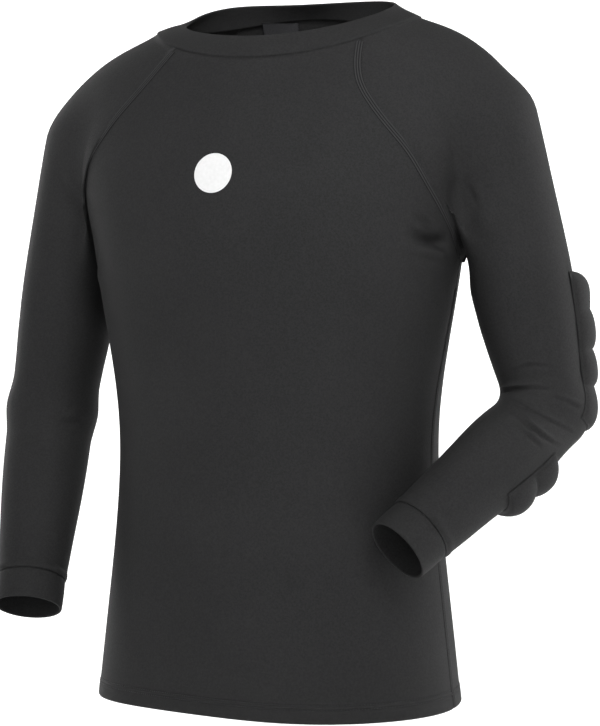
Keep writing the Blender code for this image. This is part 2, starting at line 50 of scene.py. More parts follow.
turn = np.radians(cameraSet["turn"])
aim = np.array(cameraSet["aim"])
cameraData = bpy.data.cameras.new("photoCamera")
cameraData.lens = cameraSet["lens"]
cameraData.sensor_width = cameraSet["sensor"]
cameraData.sensor_fit = "HORIZONTAL"
cameraData.shift_x, cameraData.shift_y = cameraSet["shift"]
camera = bpy.data.objects.new("photoCamera", cameraData)
camera.location = aim + cameraSet["distance"] * np.array([np.sin(turn), -np.cos(turn), 0.0])
camera.rotation_euler = (np.pi / 2, 0.0, turn)
bpy.context.scene.collection.objects.link(camera)
bpy.context.scene.camera = camera
bpy.context.scene.view_settings.view_transform = "Standard"
print("camera set")


# The form under the cloth: a trunk and two arms of a general figure, in metres, as the solids have it
trunk = {
    # height, half width, front, back, middle y, squareness
    "sections": (
        (0.040, 0.080, 0.030, 0.084, 0.004, 1.60),
        (0.024, 0.098, 0.044, 0.092, 0.003, 1.60),
        (0.010, 0.118, 0.054, 0.099, 0.001, 1.58),
        (0.000, 0.132, 0.061, 0.103, 0.000, 1.56),
        (-0.012, 0.159, 0.069, 0.107, -0.001, 1.60),
        (-0.024, 0.182, 0.077, 0.111, -0.002, 1.66),
        (-0.044, 0.205, 0.087, 0.116, -0.002, 1.80),
        (-0.075, 0.212, 0.099, 0.121, -0.003, 2.00),
        (-0.115, 0.205, 0.113, 0.126, -0.005, 2.15),
        (-0.160, 0.194, 0.124, 0.127, -0.007, 2.20),
        (-0.205, 0.183, 0.127, 0.123, -0.009, 2.20),
        (-0.240, 0.1775, 0.125, 0.119, -0.010, 2.20),
        (-0.295, 0.1685, 0.118, 0.112, -0.010, 2.20),
        (-0.380, 0.1572, 0.108, 0.106, -0.010, 2.20),
        (-0.470, 0.159, 0.107, 0.111, -0.010, 2.20),
        (-0.560, 0.168, 0.112, 0.119, -0.010, 2.20),
        (-0.650, 0.1775, 0.119, 0.126, -0.010, 2.20),
        (-0.700, 0.1825, 0.122, 0.129, -0.010, 2.20),
    ),
    "lean": 0.027,
    "leanHeights": (-0.260, -0.100),
    "blend": (0.004, 0.030),  # where the arms meet the trunk: under the arm, on the shoulder
    "blendHeights": (-0.210, -0.120),
}
armShape = {
    "left": {
        "shoulder": (0.204, 0.000, -0.103),
        "elbow": (0.2605, 0.008, -0.3745),
        "cuff": (0.145, -0.1165, -0.4975),
    },
    "right": {
        "shoulder": (-0.198, 0.000, -0.111),
        "elbow": (-0.251, 0.016, -0.380),
        "cuff": (-0.2355, -0.072, -0.564),
    },
    # distance from the shoulder, radius on the left, radius on the right
    "radii": (
        (0.000, 0.0475, 0.0475),
        (0.030, 0.0485, 0.0485),
        (0.060, 0.0492, 0.0492),
        (0.100, 0.0497, 0.0497),
        (0.140, 0.0495, 0.0495),
        (0.196, 0.0458, 0.0462),
        (0.230, 0.0418, 0.0440),
        (0.280, 0.0370, 0.0430),
        (0.330, 0.0405, 0.0418),
        (0.375, 0.0382, 0.0390),
        (0.410, 0.0358, 0.0362),
        (0.450, 0.0330, 0.0330),
        (0.475, 0.0295, 0.0300),
        (0.550, 0.0285, 0.0290),
    ),
    "limbEnd": 0.26,
    "bendRadius": 0.052,
    "elbowBlend": 0.016,
}


def unit(v):
    return v / np.maximum(np.linalg.norm(v, axis=-1, keepdims=True), 1e-12)


def ramp(value, low, high):
    # 0 below low, 1 above high, an even S between
    share = np.clip((value - low) / (high - low), 0, 1)
    return share * share * (3 - 2 * share)


def bump(value, middle, width):
    return np.exp(-(((value - middle) / width) ** 2))


def smoothLeast(a, b, reach):
    # the lesser of two distances, rounded where they are within reach of each other
    h = np.clip(0.5 + 0.5 * (b - a) / reach, 0, 1)
    return b + (a - b) * h - reach * h * (1 - h)


def splineThrough(table):
    # a natural cubic spline through a table's rows; the function it returns gives values and slopes
    rows = np.array(sorted(table), float)
    k, v = rows[:, 0], rows[:, 1:]
    h = np.diff(k)
    count = len(k)
    system, right = np.eye(count), np.zeros_like(v)
    inner = np.arange(1, count - 1)
    system[inner, inner - 1], system[inner, inner], system[inner, inner + 1] = h[:-1], 2 * (h[:-1] + h[1:]), h[1:]
    right[inner] = 6 * ((v[2:] - v[1:-1]) / h[1:, None] - (v[1:-1] - v[:-2]) / h[:-1, None])
    bend = np.linalg.solve(system, right)

    def at(x):
        x = np.clip(x, k[0], k[-1])
        i = np.clip(np.searchsorted(k, x, side="right") - 1, 0, count - 2)
        span = h[i][..., None]
        b = (x - k[i])[..., None] / span
        a = 1 - b
        value = a * v[i] + b * v[i + 1] + ((a**3 - a) * bend[i] + (b**3 - b) * bend[i + 1]) * span**2 / 6
        slope = (v[i + 1] - v[i]) / span + ((1 - 3 * a**2) * bend[i] + (3 * b**2 - 1) * bend[i + 1]) * span / 6
        return value, slope

    return at


trunkAt = splineThrough(trunk["sections"])
radiusAt = splineThrough(armShape["radii"])


def trunkDistance(p):
    # radial distance to the section at each point's height, corrected for the wall's slope
    leaned = p[..., 2] - trunk["lean"] * p[..., 0] * ramp(p[..., 2], *trunk["leanHeights"])
    values, slopes = trunkAt(leaned)
    width, front, back, middle, power = np.moveaxis(values, -1, 0)
    y = p[..., 1] - middle
    depth = np.where(y < 0, front, back)
    depthSlope = np.where(y < 0, slopes[..., 1], slopes[..., 2])
    sx = (np.abs(p[..., 0]) / width) ** power
    sy = (np.abs(y) / depth) ** power
    level = np.maximum(sx + sy, 1e-9) ** (1 / power)
    reach = np.hypot(p[..., 0], y)
    share = sx / np.maximum(sx + sy, 1e-9)
    steepness = share * slopes[..., 0] + (1 - share) * depthSlope
    return (reach - reach / level) / np.sqrt(1 + steepness**2)


class Arm:
    # one arm of the form: two tapered limbs that meet in the elbow
    def __init__(self, side):
        self.side = side
        self.sign = 1.0 if side == "left" else -1.0
        self.column = 0 if side == "left" else 1
        joints = armShape[side]
        self.shoulder, self.elbow, cuffEnd = (np.array(joints[k]) for k in ("shoulder", "elbow", "cuff"))
        self.upper = unit(self.elbow - self.shoulder)
        self.lower = unit(cuffEnd - self.elbow)
        self.upperLength = np.linalg.norm(self.elbow - self.shoulder)
        self.turn = np.arccos(self.upper @ self.lower)
        self.hinge = unit(np.cross(self.upper, self.lower))
        self.inner = unit(self.lower - (self.lower @ self.upper) * self.upper)
        self.bend = armShape["bendRadius"]
        self.bendStart = self.upperLength - self.bend * np.tan(self.turn / 2)
        self.bendMiddle = self.bendStart + self.bend * self.turn / 2
        medial = np.array([-self.sign, 0.0, 0.0])
        self.medial = unit(medial - (medial @ self.upper) * self.upper)
        self.forward = np.cross(self.upper, self.medial) * -self.sign
        self.elbowInside = np.arctan2(self.inner @ self.forward, self.inner @ self.medial)

    def radius(self, s):
        return radiusAt(s)[0][..., self.column]

    def limbDistance(self, p, start, direction, fromShoulder):
        along = np.clip((p - start) @ direction, 0, armShape["limbEnd"])
        gap = np.linalg.norm(p - start - along[..., None] * direction, axis=-1)
        return gap - self.radius(along + fromShoulder)

    def upperDistance(self, p):
        return self.limbDistance(p, self.shoulder, self.upper, 0.0)

    def distance(self, p):
        lower = self.limbDistance(p, self.elbow, self.lower, self.upperLength)
        return smoothLeast(self.upperDistance(p), lower, armShape["elbowBlend"])

    def station(self, s):
        # the middle of the sleeve at a distance s from the shoulder, round the elbow's bend
        s = np.asarray(s, float)[..., None]
        pivot = self.shoulder + self.bendStart * self.upper + self.bend * self.inner
        angle = np.clip((s - self.bendStart) / self.bend, 0, self.turn)
        onBend = pivot + self.bend * (np.sin(angle) * self.upper - np.cos(angle) * self.inner)
        after = np.maximum(s - self.bendStart - self.bend * self.turn, 0)
        return np.where(s < self.bendStart, self.shoulder + s * self.upper, onBend + after * self.lower)

    def directions(self, s, turned):
        # directions out of the sleeve's middle, by the angle from the underarm side through the front
        angle = np.clip((np.asarray(s) - self.bendStart) / self.bend, 0, self.turn)[..., None]
        start = np.cos(turned)[..., None] * self.medial + np.sin(turned)[..., None] * self.forward
        alongHinge = (start @ self.hinge)[..., None] * self.hinge
        return start * np.cos(angle) + np.cross(self.hinge, start) * np.sin(angle) + alongHinge * (1 - np.cos(angle))

    def alongOutside(self, w):
        # the distance s of points a length w beyond the tip of the elbow, measured along the outside
        shrink = self.bend / (self.bend + self.radius(np.array(self.upperLength)))
        half = self.bend * self.turn / 2
        onBend = np.clip(w * shrink, -half, half)
        return self.bendMiddle + onBend + (w - onBend / shrink)


arms = {side: Arm(side) for side in ("left", "right")}


def body(p):
    # distance of points from the trunk and upper arms, negative inside
    d = trunkDistance(p)
    low, high = trunk["blend"]
    reach = low + (high - low) * ramp(p[..., 2], *trunk["blendHeights"])
    for arm in arms.values():
        d = smoothLeast(d, arm.upperDistance(p), reach)
    return d


def outward(shape, p):
    # the way out of a shape at each point: the slope of its distance
    step = 0.0005
    return unit(np.stack([shape(p + step * axis) - shape(p - step * axis) for axis in np.eye(3)], -1))


def settle(shape, p, rounds=24):
    # moves points onto a shape, straight towards it
    step = 0.0005
    for _ in range(rounds):
        slope = np.stack([shape(p + step * axis) - shape(p - step * axis) for axis in np.eye(3)], -1) / (2 * step)
        size = np.maximum(np.linalg.norm(slope, axis=-1, keepdims=True), 0.4)
        p = p - np.clip(shape(p)[..., None] / size, -0.006, 0.006) * unit(slope)
    return p


def cast(shape, start, direction, reach=0.26):
    # where rays from inside a shape first leave it
    start, direction = np.broadcast_arrays(start, direction)
    travel = np.arange(0, reach, 0.0015)
    outside = np.stack([shape(start + t * direction) > 0 for t in travel], -1)
    first = np.maximum(np.argmax(outside, -1), 1)
    low, high = travel[first - 1], travel[first]
    for _ in range(16):
        middle = (low + high) / 2
        out = shape(start + middle[..., None] * direction) > 0
        high = np.where(out, middle, high)
        low = np.where(out, low, middle)
    return start + high[..., None] * direction


def evenly(curve, steps):
    # a curve's points, placed again at even distances along it
    lengths = np.concatenate([[0], np.cumsum(np.linalg.norm(np.diff(curve, axis=0), axis=1))])
    wanted = np.linspace(0, lengths[-1], steps + 1)
    return np.stack([np.interp(wanted, lengths, curve[:, i]) for i in range(3)], -1)


# Seams on the form. Lengths and heights are the solids' own
seams = {
    "neckMiddle": (0.008, 0.003),
    "neckSeam": {"halfWidth": 0.130, "halfDepth": 0.092, "heights": (-0.044, -0.001, 0.024)},
    # x, height and how far the shirt is turned there
    "front": (
        (0.110, -0.070, -0.006),
        (0.128, -0.094, -0.010),
        (0.146, -0.116, -0.011),
        (0.162, -0.137, -0.011),
        (0.172, -0.162, -0.008),
        (0.178, -0.186, -0.004),
        (0.180, -0.206, -0.001),
    ),
    "back": (
        (0.096, -0.040, 0.000),
        (0.118, -0.084, 0.000),
        (0.149, -0.131, 0.000),
        (0.170, -0.168, 0.000),
        (0.180, -0.200, 0.000),
    ),
    "neckAngle": {"front": 44.0, "back": 142.0},
    "underarmSpan": (0.165, 0.205),
    "underarmY": -0.004,
    "hemHeight": -0.6480,
    "hemLean": 0.004,
    "hemDip": 0.007,
    "hemDipTurn": 35.0,
    "hemDepth": 0.017,
    "sideShift": -0.012,
    "sleeveLength": 0.449,
    "freeSleeve": 0.195,
}
# How many steps each grid has
steps = {"neckPanel": 120, "hem": 20, "side": 96, "raglan": 56, "neckSleeve": 48, "cap": 48}


def neckRing(ring, angles):
    # an oval with its own heights at front, side and back; angle 0 is the front, 90 degrees the wearer's left
    front, side, back = ring["heights"]
    mean, tilt, saddle = (front + 2 * side + back) / 4, (front - back) / 2, (front - 2 * side + back) / 4
    x = seams["neckMiddle"][0] + ring["halfWidth"] * np.sin(angles)
    y = seams["neckMiddle"][1] - ring["halfDepth"] * np.cos(angles)
    return np.stack([x, y, mean + tilt * np.cos(angles) + saddle * np.cos(2 * angles)], -1)


def neckSeam(angles):
    return settle(body, neckRing(seams["neckSeam"], angles))


def neckAngles(part, panelSteps=steps["neckPanel"], sleeveSteps=steps["neckSleeve"]):
    front, back = np.radians(seams["neckAngle"]["front"]), np.radians(seams["neckAngle"]["back"])
    spans = {
        "front": (-front, front, panelSteps),
        "left": (front, back, sleeveSteps),
        "back": (back, 2 * np.pi - back, panelSteps),
        "right": (-front, -back, sleeveSteps),
    }
    start, end, count = spans[part]
    return np.linspace(start, end, count + 1)


def underarm(sign):
    # the top of the arch under an arm, where the side seam, the sleeve seam and both raglan seams meet
    x = np.linspace(*seams["underarmSpan"], 81)
    start = np.stack([sign * x, np.full(81, seams["underarmY"]), np.full(81, -0.15)], -1)
    arch = cast(body, start, np.array([0.0, 0.0, -1.0]))
    return arch[np.argmax(arch[:, 2])]


def raglan(sign, face, count=steps["raglan"]):
    # a raglan seam from the neckband to the underarm
    angle = np.radians(seams["neckAngle"][face]) * sign
    neck = neckSeam(np.array([angle]))[0]
    end = underarm(sign)
    x, height, shift = np.array(seams[face]).T
    guide = np.vstack([neck[[0, 2]], np.stack([sign * x + shift, height], -1), end[[0, 2]]])
    lengths = np.concatenate([[0], np.cumsum(np.linalg.norm(np.diff(guide, axis=0), axis=1))])
    share = 1 - (1 - np.linspace(0, 1, 321)) ** 2
    flat = splineThrough(np.column_stack([lengths, guide]).tolist())(share * lengths[-1])[0][1:-1]
    inside = np.stack([flat[:, 0], np.full(len(flat), seams["underarmY"]), flat[:, 1]], -1)
    points = cast(body, inside, np.array([0.0, -1.0 if face == "front" else 1.0, 0.0]))
    return evenly(np.vstack([neck, points, end]), count)


def hemHeight(x, shareForward):
    return seams["hemHeight"] + seams["hemLean"] * x - seams["hemDip"] * np.clip(shareForward, 0, 1) ** 2


def sideSeam(sign):
    # from the hem up to the underarm, with close rows in the hem
    top = underarm(sign)
    width = trunkAt(np.array(seams["hemHeight"]))[0][0]
    low = hemHeight(sign * width, sign * np.sin(np.radians(seams["hemDipTurn"])))
    line = low + seams["hemDepth"] + 0.004
    inHem, aboveHem = np.linspace(low, line, steps["hem"] + 1)[:-1], np.linspace(line, top[2], steps["side"])
    heights = np.concatenate([inHem, aboveHem])
    values = trunkAt(heights)[0]
    blend = ramp(top[2] - heights, 0, 0.20)
    y = top[1] + (values[:, 3] + seams["sideShift"] - top[1]) * blend
    points = settle(body, np.stack([sign * values[:, 0], y, heights], -1))
    points[-1] = top
    return points


def lift(angle, height):
    # points on the trunk at an angle about its middle, where 0 is the front and 90 degrees the wearer's left
    width, front, back, middle, power = np.moveaxis(trunkAt(height)[0], -1, 0)
    x, y = np.sin(angle), -np.cos(angle)
    depth = np.where(y < 0, front, back)
    level = ((np.abs(x) / width) ** power + (np.abs(y) / depth) ** power) ** (1 / power)
    return np.stack([x / level, middle + y / level, height], -1)


def coons(left, right, bottom, top):
    # fills a grid between four edges: the two pairs' straight blends, less the corners' one
    s = np.linspace(0, 1, len(bottom))[None, :, None]
    w = np.linspace(0, 1, len(left))[:, None, None]
    sides = (1 - s) * left[:, None] + s * right[:, None]
    ends = (1 - w) * bottom[None] + w * top[None]
    corners = (1 - w) * ((1 - s) * bottom[0] + s * bottom[-1]) + w * ((1 - s) * top[0] + s * top[-1])
    return sides + ends - corners


def panelGrid(face):
    # a body panel as rows of points from the hem up, between its side seams and raglan seams
    first, last = (-1.0, 1.0) if face == "front" else (1.0, -1.0)
    edges = [np.vstack([sideSeam(sign), raglan(sign, face)[::-1][1:]]) for sign in (first, last)]
    top = neckSeam(neckAngles(face))

    def flat(points):
        middle = trunkAt(points[..., 2])[0][..., 3]
        angle = np.arctan2(points[..., 0], -(points[..., 1] - middle))
        return np.stack([angle % (2 * np.pi) if face == "back" else angle, points[..., 2]], -1)

    ends = [flat(edge[0])[0] for edge in edges]
    angle = np.linspace(ends[0], ends[1], steps["neckPanel"] + 1)
    width = trunkAt(np.array(seams["hemHeight"]))[0][0]
    forward = np.cos(angle - np.radians(seams["hemDipTurn"]))
    bottom = lift(angle, hemHeight(width * np.sin(angle), forward))
    bottom[0], bottom[-1] = edges[0][0], edges[1][0]
    sides = [edges[0], edges[1], bottom, top]
    grid = coons(*(flat(edge) for edge in sides))
    guide = lift(grid[..., 0], grid[..., 1])
    error = [guide[:, 0], guide[:, -1], guide[0], guide[-1]]
    points = settle(body, guide + coons(*(edge - was for edge, was in zip(sides, error))), 32)
    points[:, 0], points[:, -1], points[0], points[-1] = sides
    return points


def sleeveRings(arm, s, turned):
    # rays out of the sleeve's middle to the form: above the free length to the whole body, below it to the arm
    middle, direction = arm.station(s), arm.directions(s, turned)
    joined = np.asarray(s) < seams["freeSleeve"]
    points = np.empty(direction.shape)
    for shape, where in ((body, joined), (arm.distance, ~joined)):
        if where.any():
            points[where] = cast(shape, middle[where], direction[where], reach=0.09)
    return points


def gridNormals(points, wrap=False):
    # cross product of a grid's two directions, turned away from its middle
    along = np.roll(points, -1, 1) - np.roll(points, 1, 1) if wrap else np.gradient(points, axis=1)
    normals = unit(np.cross(along, np.gradient(points, axis=0)))
    away = points - points.mean((0, 1))
    return normals * np.sign(np.sum(normals * away, -1).sum())


def relaxed(points, hold, clear, rounds):
    # evens out a cap's grid: held columns return to the body, the others span its hollows and stay off the trunk
    inside = slice(1, len(points) - 1)
    for _ in range(rounds):
        near = points[:-2] + points[2:] + np.roll(points, 1, 1)[inside] + np.roll(points, -1, 1)[inside]
        points[inside] = near / 4
        points[inside] += hold * (settle(body, points[inside], 2) - points[inside])
        short = clear - trunkDistance(points[inside])
        points[inside] += np.clip(short, 0, 0.005)[..., None] * outward(trunkDistance, points[inside])
    return points


def sleeveGrid(arm):
    # the cap from the seams to a ring under the arm, made on a coarse grid and refined, then rings down to the cuff
    levels = 3
    points = None
    for level in range(levels + 1):
        share = 2 ** (levels - level)
        raglanSteps, neckSteps, rows = steps["raglan"] // share, steps["neckSleeve"] // share, steps["cap"] // share
        columns = 2 * raglanSteps + neckSteps
        front, back = raglan(arm.sign, "front", raglanSteps), raglan(arm.sign, "back", raglanSteps)
        neck = neckSeam(neckAngles(arm.side, sleeveSteps=neckSteps))
        loop = np.vstack([front[::-1], neck[1:-1], back[:-1]])
        around = np.linspace(0, 2 * np.pi, columns, endpoint=False)
        start = (underarm(arm.sign) - arm.shoulder) @ arm.upper + 0.026
        ring = sleeveRings(arm, np.full(columns, start), around)
        fromUnderarm = np.minimum(np.arange(columns), columns - np.arange(columns))
        hold = ramp(fromUnderarm, raglanSteps * 0.5, raglanSteps)[:, None]
        v = np.linspace(0, 1, rows + 1)[:, None, None]
        if points is None:
            middle, heart = arm.station(start), loop.mean(0)
            fromLoop, fromRing = unit(loop - heart), unit(ring - middle)
            angle = np.arccos(np.clip(np.sum(fromLoop * fromRing, -1), -1, 1))[:, None]
            turned = (np.sin((1 - v) * angle) * fromLoop + np.sin(v * angle) * fromRing) / np.sin(angle)
            thrown = cast(body, heart + v * (middle - heart), unit(turned))
            points = (1 - hold) * ((1 - v) * loop + v * ring) + hold * thrown
        else:
            finer = np.empty((rows + 1, columns, 3))
            finer[::2, ::2] = points
            finer[::2, 1::2] = (points + np.roll(points, -1, 1)) / 2
            finer[1::2] = (finer[:-1:2] + finer[2::2]) / 2
            points = finer
        points[0], points[-1] = loop, ring
        clear = 0.003 * (1 - hold[:, 0]) * np.minimum(v[1:-1, :, 0] * 4, 1)
        points = relaxed(points, hold, clear, 8)
    s = np.array([start])
    for end, count in sleeve["rings"]:
        s = np.append(s, np.linspace(s[-1], end, count + 1)[1:])
    s = s[1:]
    s, angles = np.meshgrid(s, around, indexing="ij")
    points = np.vstack([points, sleeveRings(arm, s, angles)])
    row = np.arange(len(points))[:, None]
    soft = 0.5 * ramp(row, rows - 26, rows - 8) * (1 - ramp(row, rows + 6, rows + 22))[:, :, None][..., 0]
    for _ in range(sleeve["softRounds"]):
        near = np.roll(points, 1, 0) + np.roll(points, -1, 0) + np.roll(points, 1, 1) + np.roll(points, -1, 1)
        points = points + soft[..., None] * (near / 4 - points)
    return points


# Creases: points along each, how deep its trough is, its half width, the ridge beside it and which way that lies
creaseTable = {
    "armpitDeep": {
        "path": ((0.139, -0.093, -0.2145), (0.1578, -0.0774, -0.215), (0.168, -0.0616, -0.2168),
            (0.1775, -0.038, -0.22)),
        "depth": 0.0125, "width": 0.0056, "ridge": 0.004, "side": (0, 0, -1), "peak": 0.74,
    },
    "armpitFine": {
        "path": ((0.142, -0.094, -0.188), (0.1598, -0.0776, -0.1996), (0.1708, -0.0577, -0.2102)),
        "depth": 0.0042, "width": 0.0034, "ridge": 0.0016, "side": (0, 0, -1), "peak": 0.7,
    },
    "armpitLow": {
        "path": ((0.148, -0.087, -0.23), (0.161, -0.071, -0.233), (0.17, -0.052, -0.234)),
        "depth": 0.0024, "width": 0.0036, "ridge": 0.0012, "side": (0, 0, -1), "peak": 0.7,
    },
    "sleeveValley": {
        "path": ((0.188, -0.06, -0.143), (0.1884, -0.0554, -0.1701), (0.1912, -0.0537, -0.1901),
            (0.193, -0.045, -0.22)),
        "depth": 0.008, "width": 0.0085, "ridge": 0.0026, "side": (1, 0, 0), "peak": 0.72,
    },
    "elbowA": {
        "path": ((0.23, -0.02, -0.335), (0.2524, -0.0346, -0.3311), (0.2725, -0.028, -0.333)),
        "depth": 0.0012, "width": 0.0022, "ridge": 0.001, "side": (0, 0, 1), "peak": 0.55,
    },
    "elbowB": {
        "path": ((0.217, -0.009, -0.356), (0.2366, -0.0294, -0.3525), (0.2523, -0.034, -0.3518),
            (0.276, -0.029, -0.3545)),
        "depth": 0.0034, "width": 0.002, "ridge": 0.0018, "side": (0, 0, 1), "peak": 0.22,
    },
    "elbowC": {
        "path": ((0.26, -0.035, -0.357), (0.279, -0.0288, -0.3621), (0.2877, -0.021, -0.3667),
            (0.299, -0.01, -0.3714)),
        "depth": 0.0012, "width": 0.002, "ridge": 0.001, "side": (0, 0, 1), "peak": 0.7,
    },
    "elbowD": {
        "path": ((0.221, -0.02, -0.359), (0.2425, -0.0403, -0.3667), (0.2595, -0.0429, -0.3748),
            (0.2797, -0.0277, -0.3877), (0.2884, 0.01, -0.3969)),
        "depth": 0.0018, "width": 0.002, "ridge": 0.0012, "side": (0.3, 0, 1), "peak": 0.35,
    },
    "elbowE": {
        "path": ((0.223, -0.029, -0.363), (0.2404, -0.0484, -0.3748), (0.2519, -0.0514, -0.3838),
            (0.2684, -0.0418, -0.3984), (0.279, -0.02, -0.406)),
        "depth": 0.0021, "width": 0.0019, "ridge": 0.0019, "side": (0.4, 0, 1), "peak": 0.55,
    },
    "elbowF": {
        "path": ((0.233, -0.05, -0.377), (0.2455, -0.0575, -0.386), (0.258, -0.053, -0.399),
            (0.266, -0.045, -0.41)),
        "depth": 0.0015, "width": 0.002, "ridge": 0.0012, "side": (0.4, 0, 1), "peak": 0.6,
    },
    "sleeveNick": {
        "path": ((0.194, -0.0475, -0.164), (0.2009, -0.046, -0.1789), (0.203, -0.0455, -0.186)),
        "depth": 0.0018, "width": 0.0034, "ridge": 0.001, "side": (1, 0, 0), "peak": 0.5,
    },
    "rightArc": {
        "path": ((-0.2158, -0.0453, -0.1279), (-0.2124, -0.0457, -0.1507), (-0.2017, -0.0457, -0.1677),
            (-0.1862, -0.0494, -0.1792)),
        "depth": 0.003, "width": 0.005, "ridge": 0.003, "side": (1, 0, 0.6), "peak": 0.6,
    },
    "rightElbowFront": {
        "path": ((-0.26, -0.039, -0.403), (-0.24, -0.0419, -0.4054), (-0.223, -0.035, -0.4064)),
        "depth": 0.0012, "width": 0.004, "ridge": 0.001, "side": (0, 0, -1), "peak": 0.5,
    },
    "rightElbowInside": {
        "path": ((-0.225, -0.033, -0.384), (-0.212, -0.01, -0.386), (-0.211, 0.015, -0.384)),
        "depth": 0.0016, "width": 0.004, "ridge": 0.0012, "side": (0, 0, 1), "peak": 0.4,
    },
    "rightWristUpper": {
        "path": ((-0.224, -0.07, -0.486), (-0.2091, -0.0553, -0.49), (-0.2051, -0.0499, -0.5048)),
        "depth": 0.0012, "width": 0.003, "ridge": 0.001, "side": (0, 0, -1), "peak": 0.6,
    },
    "rightWristLower": {
        "path": ((-0.22, -0.079, -0.516), (-0.2068, -0.065, -0.5231), (-0.204, -0.045, -0.533)),
        "depth": 0.0012, "width": 0.003, "ridge": 0.001, "side": (0, 0, -1), "peak": 0.6,
    },
    "backArmpitLeft": {
        "path": ((0.15, 0.085, -0.206), (0.166, 0.065, -0.213), (0.177, 0.036, -0.22)),
        "depth": 0.0034, "width": 0.0044, "ridge": 0.0016, "side": (0, 0, -1), "peak": 0.7,
    },
    "backArmpitRight": {
        "path": ((-0.145, 0.088, -0.216), (-0.164, 0.068, -0.229), (-0.175, 0.04, -0.241)),
        "depth": 0.003, "width": 0.0048, "ridge": 0.0014, "side": (0, 0, -1), "peak": 0.7,
    },
    "frontArmpitRight": {
        "path": ((-0.154, -0.085, -0.215), (-0.168, -0.066, -0.23), (-0.1745, -0.042, -0.243)),
        "depth": 0.0032, "width": 0.0046, "ridge": 0.0014, "side": (0, 0, -1), "peak": 0.7,
    },
}


def creased(points, normals):
    # each crease: a soft trough along a spline through its points, deepest at its peak, with a ridge beside it
    height = np.zeros(points.shape[:-1])
    for crease in creaseTable.values():
        path = np.array(crease["path"])
        knots = np.concatenate([[0], np.cumsum(np.linalg.norm(np.diff(path, axis=0), axis=1))])
        t = np.linspace(0, 1, 41)
        line = splineThrough(np.column_stack([knots, path]).tolist())(t * knots[-1])[0]
        reach = 5 * crease["width"] + 0.01
        near = np.all((points > line.min(0) - reach) & (points < line.max(0) + reach), axis=-1)
        if not near.any():
            continue
        gap = points[near][:, None] - line[None]
        far = np.linalg.norm(gap, axis=-1)
        nearest = np.argmin(far, -1)
        pick = np.arange(len(nearest))
        distance, gap = far[pick, nearest], gap[pick, nearest]
        side = np.sign(gap @ unit(np.array(crease["side"], float)))
        peak = crease["peak"]
        fade = np.where(t < peak, t / peak, (1 - t) / (1 - peak))
        fade = (fade * fade * (3 - 2 * fade))[nearest]
        trough = -crease["depth"] * bump(distance, 0, crease["width"])
        ridge = crease["ridge"] * bump(distance * side, 1.9 * crease["width"], 1.1 * crease["width"])
        height[near] += fade * (trough + ridge)
    return points + height[..., None] * normals


